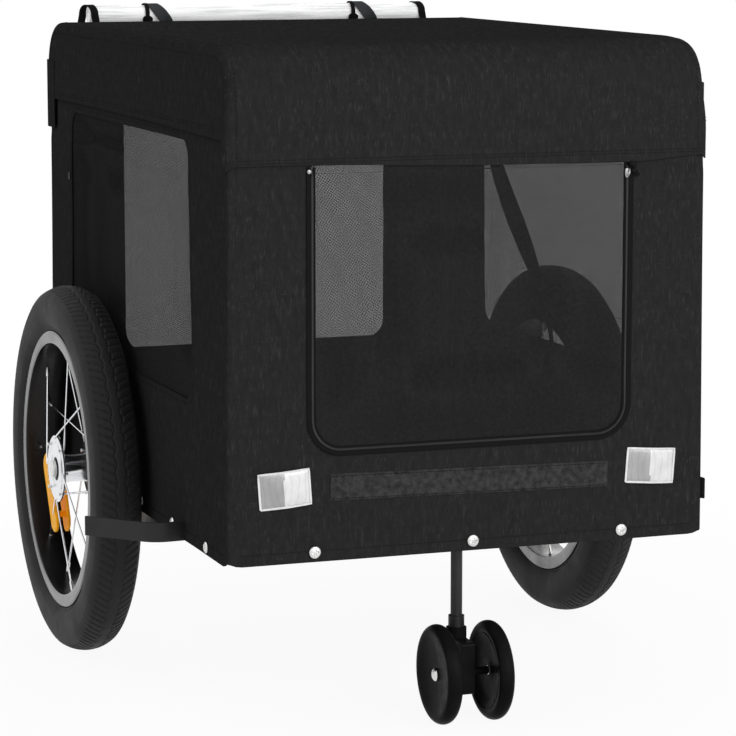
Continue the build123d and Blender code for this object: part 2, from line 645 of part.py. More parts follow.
# ---- every sub-part, by the name of its file ----------------------------------------
parts = {
    "roof_cover": roof_cover(),
    "front_wall": end_wall(FRONT, 1),
    "rear_wall": end_wall(REAR, -1),
    "front_door": end_door(FRONT, 1),
    "rear_door": end_door(REAR, -1),
    "front_rail": end_rail(END_RAIL_YS["front"], 1),
    "rear_rail": end_rail(END_RAIL_YS["rear"], -1),
    "front_cross_member": cross_member(FRONT + CROSS_MEMBER_POSITIONS[0]),
    "middle_cross_member": cross_member(FRONT + CROSS_MEMBER_POSITIONS[1]),
    "axle_cross_member": cross_member(AXLE_Y),
    "front_roof_bar": roof_bar(FRONT + CORNER_RADIUS + HOOP_DIAMETER),
    "rear_roof_bar": roof_bar(REAR - CORNER_RADIUS - HOOP_DIAMETER),
    "floor_board": floor_board(),
    "front_patches": patches(FRONT, -1),
    "rear_patches": patches(REAR, 1),
    "front_hook_strip": hook_strip(FRONT, -1),
    "rear_hook_strip": hook_strip(REAR, 1),
    "stem_sleeve": stem_sleeve(),
    "caster_stem": caster_stem(),
    "caster_housing": caster_housing(),
    "caster_axle": caster_axle(),
    "tow_socket": tow_socket(),
    "weather_cover": weather_cover(),
    "cover_straps": cover_straps(),
}
for name, side in SIDES.items():
    parts[f"{name}_wall"] = side_wall(side)
    parts[f"{name}_window"] = side_window(side)
    parts[f"{name}_hoop"] = side_hoop(side)
    parts[f"{name}_rail"] = side_rail(side)
    parts[f"{name}_axle_boss"] = axle_boss(side)
    parts[f"{name}_axle"] = axle(side)
    parts[f"{name}_tyre"] = tyre(side * WHEEL_X)
    parts[f"{name}_rim"] = rim(side * WHEEL_X)
    parts[f"{name}_hub"] = hub(side * WHEEL_X)
    parts[f"{name}_spokes"] = spokes(side * WHEEL_X)
    parts[f"{name}_wheel_guard"] = wheel_guard(side)
    parts[f"{name}_caster_wheel"] = caster_wheel(side)

os.makedirs("parts", exist_ok=True)
for name, shape in parts.items():
    export_step(shape, f"parts/{name}.step")
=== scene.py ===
from math import atan2, ceil, cos, hypot, pi, radians, sin, sqrt

import bpy
import numpy as np
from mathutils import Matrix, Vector
from mathutils.bvhtree import BVHTree
from mathutils.geometry import delaunay_2d_cdt


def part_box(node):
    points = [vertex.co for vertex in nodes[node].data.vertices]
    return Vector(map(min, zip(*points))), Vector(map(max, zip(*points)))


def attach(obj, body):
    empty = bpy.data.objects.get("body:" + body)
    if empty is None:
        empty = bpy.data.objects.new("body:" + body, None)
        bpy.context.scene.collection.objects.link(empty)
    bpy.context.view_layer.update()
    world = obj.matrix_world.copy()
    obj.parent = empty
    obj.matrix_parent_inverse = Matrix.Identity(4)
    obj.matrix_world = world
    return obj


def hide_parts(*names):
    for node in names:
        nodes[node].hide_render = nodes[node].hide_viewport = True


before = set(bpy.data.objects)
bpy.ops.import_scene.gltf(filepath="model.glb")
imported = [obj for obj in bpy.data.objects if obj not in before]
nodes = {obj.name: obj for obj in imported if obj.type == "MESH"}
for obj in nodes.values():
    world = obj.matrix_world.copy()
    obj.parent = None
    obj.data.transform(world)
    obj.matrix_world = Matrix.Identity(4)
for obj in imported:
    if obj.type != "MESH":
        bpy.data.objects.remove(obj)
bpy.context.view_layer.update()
scene = bpy.context.scene

# ---- places read from the CAD ---------------------------------------------------
wall_low, wall_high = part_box("left_wall")
FRONT, REAR, HALF, BOTTOM = wall_low.y, wall_high.y, wall_high.x, wall_low.z
roof_low, roof_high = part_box("roof_cover")
TOP, HEM = roof_high.z, roof_low.z
door_low, door_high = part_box("front_door")
window_low, window_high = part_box("left_window")
tyre_low, tyre_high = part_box("left_tyre")
AXLE_Y = (tyre_low.y + tyre_high.y) / 2
AXLE_Z = (tyre_low.z + tyre_high.z) / 2
WHEEL_X = (tyre_low.x + tyre_high.x) / 2
TYRE_RADIUS = (tyre_high.y - tyre_low.y) / 2
rim_low, rim_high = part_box("left_rim")
RIM_RADIUS = (rim_high.z - rim_low.z) / 2
RIM_HALF = (rim_high.x - rim_low.x) / 2
hub_low, hub_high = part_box("left_hub")
FLANGE_RADIUS = (hub_high.z - hub_low.z) / 2

# ---- sizes chosen --------------------------------------------------------------------
ENDS = ((1, "front"), (-1, "rear"))
SIDES = ((1, "left"), (-1, "right"))
BEND = 0.047  # radius of the cabin's top corners
SIDE_HEM = HEM + 0.031
CLOTH = 0.0012  # thickness of the cabin's cloth
WEB = 0.0014  # thickness of webbing
CORNER = 0.0035  # radius of the cabin's upright corners
MESH_SEAM = 0.008  # how far a window's mesh runs under the cloth
SPOKES = 16
SPOKE_STEP = 4 * pi / SPOKES  # between two spokes of one flange


# ---- small tools ---------------------------------------------------------------------
def smooth(t):
    t = np.clip(t, 0, 1)
    return t * t * (3 - 2 * t)


def ripple(u, v, seed, size):
    """A smooth random height from -1 to 1 or so, made of eight waves of about one size."""
    rng = np.random.default_rng(seed)
    total = 0.0
    for _ in range(8):
        angle, phase = rng.uniform(0, 2 * pi, 2)
        f = 2 * pi / (size * rng.uniform(0.7, 1.8))
        total = total + np.sin(f * (u * cos(angle) + v * sin(angle)) + phase)
    return total / 4


class Soup:
    """Points and faces gathered from many small shapes, to be made into one piece."""

    def __init__(self):
        self.verts, self.faces = [], []

    def add(self, verts, faces):
        start = len(self.verts)
        self.verts += [tuple(map(float, v)) for v in verts]
        self.faces += [tuple(int(i) + start for i in f) for f in faces]
        return self

    def make(self, name, material, body, slot, angle=35, uv=None):
        me = bpy.data.meshes.new(name)
        me.from_pydata(self.verts, [], self.faces)
        if uv is not None:
            corners = np.array([loop.vertex_index for loop in me.loops]) % len(uv)
            me.uv_layers.new(name="weave").data.foreach_set("uv", uv[corners].astype(np.float32).ravel())
        me.shade_smooth()
        me.set_sharp_from_angle(angle=radians(angle))
        me.materials.append(material)
        ob = bpy.data.objects.new(name, me)
        scene.collection.objects.link(ob)
        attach(ob, body)
        return ob


def grid_faces(rows, columns, wrap_rows=False, wrap_columns=False):
    faces = []
    for i in range(rows if wrap_rows else rows - 1):
        for j in range(columns if wrap_columns else columns - 1):
            a, b = (i + 1) % rows, (j + 1) % columns
            faces.append((i * columns + j, a * columns + j, a * columns + b, i * columns + b))
    return faces


def tube_faces(rows, sides):
    """The faces of a tube made of rows of points, with its two ends."""
    last = (rows - 1) * sides
    ends = [tuple(range(sides)), tuple(reversed(range(last, last + sides)))]
    return grid_faces(rows, sides, False, True) + ends


def corners_of(left, right, low, high):
    """The corners of a rectangle, anticlockwise."""
    return [(left, low), (right, low), (right, high), (left, high)]


def mirrored(profile):
    """A profile of (x, radius) and its mirror image."""
    return profile + [(-x, r) for x, r in reversed(profile)]


def along_line(points, start, pitch, span):
    """Places a pitch apart along a line, and the line's direction at each."""
    p = np.array(points, float)
    reach = np.concatenate([[0], np.cumsum(np.linalg.norm(np.diff(p, axis=0), axis=1))])
    for s in np.arange(start, reach[-1], pitch):
        stops = (s, s + span, s - span)
        here, after, before = (np.array([np.interp(t, reach, p[:, k]) for k in range(3)]) for t in stops)
        yield here, Vector(after - before)


def lathe(profile, segments, centre, radial=None):
    """A closed profile of (x, radius) turned about a line along X. radial moves the radius."""
    profile = np.array(profile, float)
    angles = np.arange(segments) * 2 * pi / segments
    a, k = np.meshgrid(angles, np.arange(len(profile)), indexing="ij")
    x, r = profile[k, 0], profile[k, 1]
    if radial:
        r = radial(x, r, a)
    verts = np.stack([x, r * np.cos(a), r * np.sin(a)], -1).reshape(-1, 3) + np.array(centre)
    return verts, grid_faces(segments, len(profile), True, True)


def turned(place, axis, profile, sides, height=None):
    """A profile of (along, radius) turned about any axis. The ends are closed."""
    a = Vector(axis).normalized()
    b = a.cross(Vector((0, 0, 1)) if abs(a.z) < 0.9 else Vector((1, 0, 0))).normalized()
    c = a.cross(b)
    verts = []
    for along, r in profile:
        for k in range(sides):
            t = 2 * pi * k / sides
            u, v = r * cos(t), r * sin(t)
            verts.append(Vector(place) + a * (along + (height(u, v) if height else 0)) + b * u + c * v)
    faces = grid_faces(len(profile), sides, False, True)
    return verts, [tuple(range(sides)), *[tuple(reversed(f)) for f in faces],
                   tuple(reversed(range((len(profile) - 1) * sides, len(profile) * sides)))]


def frames(points):
    """A line of points and its directions."""
    p = np.array(points, float)
    t = np.gradient(p, axis=0)
    return p, t / np.linalg.norm(t, axis=1)[:, None]


def swept(points, section, side):
    """A closed section of (side, normal) pairs carried along points. side is the width's direction."""
    p, t = frames(points)
    s = np.broadcast_to(np.array(side, float), p.shape)
    s = s - (s * t).sum(1)[:, None] * t
    s = s / np.linalg.norm(s, axis=1)[:, None]
    n = np.cross(t, s)
    section = np.array(section, float)
    verts = p[:, None] + section[None, :, :1] * s[:, None] + section[None, :, 1:] * n[:, None]
    return verts.reshape(-1, 3), tube_faces(len(p), len(section))


def ring(radius, sides):
    return [(radius * cos(2 * pi * k / sides), radius * sin(2 * pi * k / sides)) for k in range(sides)]


def flat(width, thickness):
    """The section of a strap with eased edges."""
    w, t, e = width / 2, thickness / 2, min(width, thickness) * 0.3
    lower = [(-w, -t + e), (-w + e, -t), (w - e, -t), (w, -t + e)]
    return lower + [(w, t - e), (w - e, t), (-w + e, t), (-w, t - e)]


def lying(width, thickness):
    """The same section for a strap whose side runs out of the wall."""
    return [(b, a) for a, b in flat(width, thickness)]


def smooth_line(points, count):
    """A Catmull-Rom line through points."""
    p = np.array(points, float)
    p = np.vstack([2 * p[0] - p[1], p, 2 * p[-1] - p[-2]])
    out = []
    for t in np.linspace(0, len(p) - 3 - 1e-9, count):
        i, f = int(t), t - int(t)
        a, b, c, d = p[i:i + 4]
        out.append(0.5 * (2 * b + (c - a) * f + (2 * a - 5 * b + 4 * c - d) * f ** 2
                          + (3 * b - a - 3 * c + d) * f ** 3))
    return np.array(out)


def box_at(place, along, across, size):
    """A small box with its long side along one direction and its width across another."""
    a = Vector(along).normalized()
    n = a.cross(Vector(across)).normalized()
    c = n.cross(a)
    place = Vector(place)
    verts = [place + a * size[0] / 2 * i + c * size[1] / 2 * j + n * size[2] / 2 * k
             for i in (-1, 1) for j in (-1, 1) for k in (-1, 1)]
    return verts, [(0, 1, 3, 2), (4, 6, 7, 5), (0, 4, 5, 1), (2, 3, 7, 6), (0, 2, 6, 4), (1, 5, 7, 3)]


def rounded(corners, radii, step):
    """A closed outline whose corners are arcs, with points about step apart."""
    corners = [np.array(c, float) for c in corners]
    out = []
    for i, c in enumerate(corners):
        a, b = corners[i - 1], corners[(i + 1) % len(corners)]
        u, v = (a - c) / np.linalg.norm(a - c), (b - c) / np.linalg.norm(b - c)
        half = np.arccos(np.clip(u @ v, -1, 1)) / 2
        r = radii[i]
        cut = r / np.tan(half)
        middle = c + (u + v) / np.linalg.norm(u + v) * r / np.sin(half)
        start, end = c + u * cut, c + v * cut
        a0 = atan2(*(start - middle)[::-1])
        turn = (atan2(*(end - middle)[::-1]) - a0 + pi) % (2 * pi) - pi
        n = max(3, ceil(abs(turn) * r / step))
        out += [middle + r * np.array([cos(a0 + turn * k / n), sin(a0 + turn * k / n)]) for k in range(n + 1)]
    full = []
    for a, b in zip(out, out[1:] + out[:1]):
        n = max(1, round(np.linalg.norm(b - a) / step))
        full += [a + (b - a) * k / n for k in range(n)]
    return np.array(full)


def inside(loop, points):
    x, y = points[:, 0], points[:, 1]
    found = np.zeros(len(points), bool)
    for (ax, ay), (bx, by) in zip(loop, np.roll(loop, -1, 0)):
        if ay != by:
            found ^= ((ay > y) != (by > y)) & (x < (bx - ax) * (y - ay) / (by - ay) + ax)
    return found


def panel(outline, holes, creases, spacing):
    """Points and triangles of a flat panel, with its holes cut and its crease lines kept."""
    points, edges = [], []
    for loop in [outline, *holes, *creases]:
        start, n = len(points), len(loop)
        points += [tuple(p) for p in loop]
        edges += [(start + i, start + (i + 1) % n) for i in range(n)]
    edge_points = np.array(points)
    low, high = edge_points.min(0), edge_points.max(0)
    rows = np.arange(low[1] + spacing / 2, high[1], spacing * 0.87)
    inner = np.array([(x + (i % 2) * spacing / 2, y) for i, y in enumerate(rows)
                      for x in np.arange(low[0] + spacing / 3, high[0], spacing)])
    keep = inside(outline, inner)
    for hole in holes:
        keep &= ~inside(hole, inner)
    inner = inner[keep]
    near = np.array([((edge_points - p) ** 2).sum(1).min() for p in inner]) > (0.6 * spacing) ** 2
    points += [tuple(p) for p in inner[near]]
    found = delaunay_2d_cdt([Vector(p) for p in points], edges, [], 0, 1e-7)
    verts = np.array([tuple(v) for v in found[0]])
    faces = np.array([f for f in found[2] if len(f) == 3])
    middle = verts[faces].mean(1)
    good = inside(outline, middle)
    for hole in holes:
        good &= ~inside(hole, middle)
    faces = faces[good]
    a, b, c = (verts[faces[:, k]] for k in range(3))
    area = (b[:, 0] - a[:, 0]) * (c[:, 1] - a[:, 1]) - (b[:, 1] - a[:, 1]) * (c[:, 0] - a[:, 0])
    faces[area < 0] = faces[area < 0][:, ::-1]
    faces = faces[np.abs(area) > 1e-12]
    used, back = np.unique(faces, return_inverse=True)
    return verts[used], back.reshape(-1, 3)


def vertex_normals(verts, faces):
    a, b, c = (verts[faces[:, k]] for k in range(3))
    face = np.cross(b - a, c - a)
    n = np.zeros_like(verts)
    for k in range(3):
        np.add.at(n, faces[:, k], face)
    return n / np.maximum(np.linalg.norm(n, axis=1), 1e-12)[:, None]


def two_skins(faces, m):
    """The triangles of one skin, of a second skin m points on, and of the edge between them."""
    pairs = np.sort(np.vstack([faces[:, [0, 1]], faces[:, [1, 2]], faces[:, [2, 0]]]), 1)
    known, counts = np.unique(pairs, axis=0, return_counts=True)
    once = set(map(tuple, known[counts == 1]))
    every = list(faces) + [f[::-1] + m for f in faces]
    for f in faces:
        for a, b in ((f[0], f[1]), (f[1], f[2]), (f[2], f[0])):
            if (min(a, b), max(a, b)) in once:
                every.append((b, a, a + m, b + m))
    return every


def closed_grid(rows, columns, flipped):
    """The faces of two skins of one grid of points, joined along their edge."""
    faces, m = grid_faces(rows, columns), rows * columns
    every = faces + [tuple(i + m for i in reversed(f)) for f in faces]
    loop = [i * columns for i in range(rows)] + [(rows - 1) * columns + j for j in range(1, columns)]
    loop += [i * columns + columns - 1 for i in range(rows - 2, -1, -1)] + list(range(columns - 2, 0, -1))
    every += [(a, a + m, b + m, b) for a, b in zip(loop, loop[1:] + loop[:1])]
    return [tuple(reversed(f)) for f in every] if flipped else every


def thick(verts, faces, thickness, outward):
    """A closed cloth from one skin of triangles. outward(verts) gives rough outward directions."""
    n = vertex_normals(verts, faces)
    if ((n * outward).sum(1)).mean() < 0:
        faces, n = faces[:, ::-1], -n
    return np.vstack([verts, verts - n * thickness]), two_skins(faces, len(verts))


# ---- materials -----------------------------------------------------------------------
class Finish:
    """A node material round one Principled shader."""

    def __init__(self, name, **sockets):
        self.material = bpy.data.materials.new(name)
        self.material.use_nodes = True
        self.tree = self.material.node_tree
        self.shader = self.tree.nodes["Principled BSDF"]
        for key, value in sockets.items():
            self.shader.inputs[key.replace("_", " ")].default_value = value

    def node(self, kind, inputs=(), **settings):
        made = self.tree.nodes.new("ShaderNode" + kind)
        for key, value in settings.items():
            setattr(made, key, value)
        for key, value in dict(inputs).items():
            if isinstance(value, bpy.types.NodeSocket):
                self.tree.links.new(value, made.inputs[key])
            else:
                made.inputs[key].default_value = value
        return made

    def coords(self, scale, source="Object"):
        place = self.node("TexCoord").outputs[source]
        return self.node("Mapping", {"Vector": place, "Scale": scale}).outputs[0]

    def noise(self, scale, detail, roughness=0.5, where=None):
        where = where or self.coords(scale)
        inputs = {"Vector": where, "Scale": 1.0, "Detail": detail, "Roughness": roughness}
        return self.node("TexNoise", inputs).outputs["Fac"]

    def math(self, operation, a, b):
        return self.node("Math", {0: a, 1: b}, operation=operation).outputs[0]

    def ramp(self, fac, stops):
        made = self.node("ValToRGB", {"Fac": fac})
        band = made.color_ramp
        while len(band.elements) < len(stops):
            band.elements.new(0.5)
        for element, (place, value) in zip(band.elements, stops):
            element.position = place
            element.color = (*value, 1) if hasattr(value, "__len__") else (value, value, value, 1)
        return made.outputs[0]

    def bump(self, height, strength, distance):
        before = self.shader.inputs["Normal"]
        values = {"Height": height, "Strength": strength, "Distance": distance}
        if before.links:
            values["Normal"] = before.links[0].from_socket
        self.tree.links.new(self.node("Bump", values).outputs[0], before)

    def set(self, socket, value):
        self.tree.links.new(value, self.shader.inputs[socket])
        return self


def fabric(name, dark, light):
    """Heathered woven polyester: short lighter slubs, mostly along the weave's V, in a dark plain weave."""
    f = Finish(name, Roughness=0.9, Specular_IOR_Level=0.0)

    def threads(across, along, low, high, strength):
        where = f.coords((across, along, 1.0), "UV")
        return f.ramp(f.noise(None, 1.0, where=where), [(low, 0.0), (high, strength)])

    slub = threads(720.0, 110.0, 0.60, 0.82, 1.0)
    wide = threads(330.0, 52.0, 0.60, 0.84, 0.7)
    weft = threads(95.0, 700.0, 0.63, 0.84, 0.5)
    both = f.math("MAXIMUM", f.math("MAXIMUM", slub, wide), weft)
    patchy = f.math("MULTIPLY", both, f.ramp(f.noise([24.0] * 3, 2.0), [(0.3, 0.3), (0.7, 1.0)]))
    cloudy = f.math("MULTIPLY", f.ramp(threads(170.0, 60.0, 0.25, 0.75, 1.0), [(0.0, 0.0), (1.0, 1.0)]), 0.16)
    f.set("Base Color", f.ramp(f.math("ADD", patchy, cloudy), [(0.0, dark), (1.0, light)]))
    f.bump(f.noise([1900.0] * 3, 0.0), 0.35, 0.0004)
    f.bump(both, 0.3, 0.0002)
    return f.material


def webbing(name, dark, light, rib, along, speckle=1400.0, fuzz=0.4):
    """Flat woven tape with ribs across it, or the fuzz of loop tape."""
    f = Finish(name, Roughness=0.85, Specular_IOR_Level=0.02)
    scale = [0.0, 0.0, 0.0]
    scale[along] = rib
    wave = f.node("TexWave", {"Vector": f.coords(scale), "Scale": 1.0, "Distortion": 0.4},
                  bands_direction="XYZ"[along]).outputs["Fac"]
    speck = f.noise([speckle] * 3, 3.0, 0.7)
    mixed = f.math("ADD", f.math("MULTIPLY", wave, 1 - fuzz), f.math("MULTIPLY", speck, fuzz))
    f.set("Base Color", f.ramp(mixed, [(0.25, dark), (0.8, light)]))
    f.bump(mixed, 0.5, 0.0004)
    return f.material


def metal(name, tone, roughness, wear=0.02, size=70.0, dull=0.88):
    """Plated or bare metal with smears that change its colour and roughness. Where dull is low, as on the
    rim, the smears are large dark and light patches of painted reflection.
    """
    f = Finish(name, Metallic=1.0)
    smear_and_painted_reflection = f.noise([size] * 3, 4.0, 0.6)
    low = [c * dull for c in tone]
    f.set("Base Color", f.ramp(smear_and_painted_reflection, [(0.3, low), (0.7, tone)]))
    f.set("Roughness", f.ramp(smear_and_painted_reflection, [(0.3, roughness), (0.75, roughness + 0.14)]))
    f.bump(f.noise([260.0] * 3, 2.0), wear, 0.0005)
    return f.material


def painted(name, dark, light, roughness):
    """Satin paint with a faint orange peel and a little dust."""
    f = Finish(name, Specular_IOR_Level=0.3)
    cloud = f.noise([18.0] * 3, 4.0)
    f.set("Base Color", f.ramp(cloud, [(0.35, dark), (0.75, light)]))
    f.set("Roughness", f.ramp(f.noise([55.0] * 3, 3.0), [(0.3, roughness), (0.7, roughness + 0.15)]))
    f.bump(f.noise([900.0] * 3, 1.0), 0.08, 0.0003)
    return f.material


def rubber():
    f = Finish("tyre_rubber", Specular_IOR_Level=0.16)
    cloud = f.noise([30.0] * 3, 5.0, 0.6)
    f.set("Base Color", f.ramp(cloud, [(0.3, 0.013), (0.75, 0.021)]))
    f.set("Roughness", f.ramp(cloud, [(0.3, 0.55), (0.7, 0.75)]))
    f.bump(f.noise([1300.0] * 3, 2.0), 0.25, 0.0003)
    return f.material


def gloss_plastic(name, shine):
    f = Finish(name, Specular_IOR_Level=shine)
    cloud = f.noise([40.0] * 3, 4.0)
    f.set("Base Color", f.ramp(cloud, [(0.3, 0.006), (0.75, 0.011)]))
    f.set("Roughness", f.ramp(f.noise([90.0] * 3, 4.0), [(0.3, 0.24), (0.7, 0.40)]))
    f.bump(f.noise([500.0] * 3, 2.0), 0.05, 0.0003)
    return f.material


def amber():
    """Amber lens with a lattice of small prisms, and a painted glow: a faint orange emission that brightens
    it, though it is no lamp.
    """
    f = Finish("amber_lens", Roughness=0.35, Specular_IOR_Level=0.12, Subsurface_Weight=0.3,
               Subsurface_Scale=0.006, Emission_Color=(0.95, 0.38, 0.01, 1), Emission_Strength=0.16)
    cells = f.node("TexVoronoi", {"Vector": f.coords([420.0] * 3), "Scale": 1.0, "Randomness": 0.15},
                   feature="F1").outputs["Distance"]
    f.set("Base Color", f.ramp(cells, [(0.1, (0.98, 0.56, 0.012)), (0.7, (0.84, 0.30, 0.003))]))
    f.bump(cells, 0.7, 0.0012)
    return f.material


def silver_tape(name, tone):
    """Retroreflective tape: a fine honeycomb under a clear skin."""
    f = Finish(name, Roughness=0.38, Metallic=0.35, Coat_Weight=0.3, Coat_Roughness=0.2)
    cells = f.node("TexVoronoi", {"Vector": f.coords([900.0] * 3), "Scale": 1.0, "Randomness": 0.1},
                   feature="DISTANCE_TO_EDGE").outputs["Distance"]
    cloud = f.noise([60.0] * 3, 3.0)
    edge = f.math("MULTIPLY", f.ramp(cells, [(0.02, 0.82), (0.12, 1.0)]),
                  f.ramp(cloud, [(0.3, 0.86), (0.7, 1.0)]))
    f.set("Base Color", f.ramp(edge, [(0.6, tone * 0.6), (1.0, tone)]))
    f.bump(cells, 0.3, 0.0003)
    return f.material


def film():
    """Clear vinyl, scuffed where it has been rolled, with a painted glow: a faint white emission that
    brightens the whole roll.
    """
    f = Finish("clear_vinyl", IOR=1.3, Transmission_Weight=0.12, Specular_IOR_Level=0.5,
               Emission_Color=(1, 1, 1, 1), Emission_Strength=0.15)
    streak = f.noise([12.0, 260.0, 260.0], 4.0, 0.6)
    f.set("Base Color", f.ramp(streak, [(0.30, (0.60, 0.61, 0.62)), (0.54, (0.99, 0.99, 0.99))]))
    f.set("Roughness", f.ramp(streak, [(0.3, 0.12), (0.7, 0.4)]))
    f.bump(streak, 0.25, 0.0012)
    return f.material


WALL = fabric("heathered_polyester", (0.0172, 0.0172, 0.0174), (0.048, 0.048, 0.049))
BINDING = webbing("black_binding_tape", 0.006, 0.016, 1200.0, 2)
GREY_WEB = webbing("grey_webbing", (0.030, 0.032, 0.035), (0.080, 0.084, 0.088), 900.0, 0)
DARK_WEB = webbing("dark_webbing", 0.008, 0.022, 900.0, 2)
LOOP_TAPE = webbing("loop_tape", 0.010, 0.066, 420.0, 0, 150.0, 0.85)
STEEL = painted("satin_black_paint", 0.010, 0.018, 0.38)
CHROME = metal("bright_plate", (0.80, 0.81, 0.83), 0.10)
SILVER = metal("zinc_plate", (0.72, 0.72, 0.71), 0.26, 0.05)
DULL_ZINC = metal("dull_zinc", (0.42, 0.42, 0.42), 0.36, 0.05)
RUBBER = rubber()
NYLON = gloss_plastic("gloss_black_nylon", 0.025)
AMBER = amber()
TAPE = silver_tape("silver_tape", 0.74)
VINYL = film()


def thread_finish():
    f = Finish("coated_mesh_thread", Roughness=0.6, Specular_IOR_Level=0.0)
    f.set("Base Color", f.ramp(f.noise([300.0] * 3, 2.0), [(0.3, 0.022), (0.7, 0.031)]))
    f.bump(f.noise([2200.0] * 3, 1.0), 0.2, 0.0002)
    return f.material


THREAD = thread_finish()
SEWING = webbing("sewing_thread", 0.010, 0.022, 2600.0, 0)
COIL = painted("zip_coil_nylon", 0.020, 0.040, 0.35)
# a darker copy of the silver tape: painted shade on the left half of each patch, seen from in front of its
# wall
TAPE_PAINTED_SHADE = silver_tape("silver_tape_shaded", 0.36)
# the rim's plate: its large dark and light patches are painted reflection, standing in for the bright and
# dark reflections round the rim's side
RIM_PLATE = metal("rim_plate", (0.20, 0.20, 0.205), 0.14, 0.02, 13.0, 0.10)
# a darker copy of the rim's plate for the rim's well: painted shade standing in for the dark reflections
# inside the rim
RIM_WELL_PAINTED_SHADE = metal("rim_well_painted_shade", (0.034, 0.033, 0.033), 0.26, 0.02, 24.0)
CASTER_NYLON = gloss_plastic("caster_black_nylon", 0.012)


# ---- the cover: roof and skirts ------------------------------------------------------
COVER_OUT = 0.0016  # how far the cover stands out from the walls
COVER_HALF = HALF + COVER_OUT
EDGE = 0.008  # radius of the sewn ridge along each side of the roof
y_front, y_rear = FRONT - COVER_OUT, REAR + COVER_OUT


def cover_profile():
    """Points and outward directions of the roof and its two end skirts, from front hem to rear hem."""
    out = []
    for z in [*np.linspace(HEM, SIDE_HEM, 5), *np.linspace(SIDE_HEM, TOP - BEND, 7)[1:]]:
        out.append((y_front, z, -1.0, 0.0))
    for a in np.linspace(0, pi / 2, 12)[1:]:
        out.append((y_front + BEND - BEND * cos(a), TOP - BEND + BEND * sin(a), -cos(a), sin(a)))
    middle = (y_front + y_rear) / 2
    straight = [(y, TOP, 0.0, 1.0) for y in np.linspace(y_front + BEND, middle, 45)[1:]]
    half = out + straight
    mirror = [(2 * middle - y, z, -ny, nz) for y, z, ny, nz in reversed(half[:-1])]
    return np.array(half + mirror)


HEM_LIFT = 0.0052  # how far an end skirt's hem rises towards the cabin's upright edges
SIDE_HEM_HIGH, SIDE_HEM_BOW = 0.0025, 0.0038


def end_hem_lift(x):
    """An end skirt's hem: up at both ends, with its lowest place right of the middle."""
    left = HEM_LIFT * (1 - smooth((x + 0.20) / 0.24))
    right = (HEM_LIFT + 0.0006) * smooth((x - 0.165) / 0.095)
    return left + right - 0.0010 * smooth(x / 0.12)


def side_hem_lift(y):
    """A side skirt's hem: one shallow bow, highest towards the rear."""
    return SIDE_HEM_HIGH - SIDE_HEM_BOW * ((y - FRONT) / 0.5 - 1) ** 2


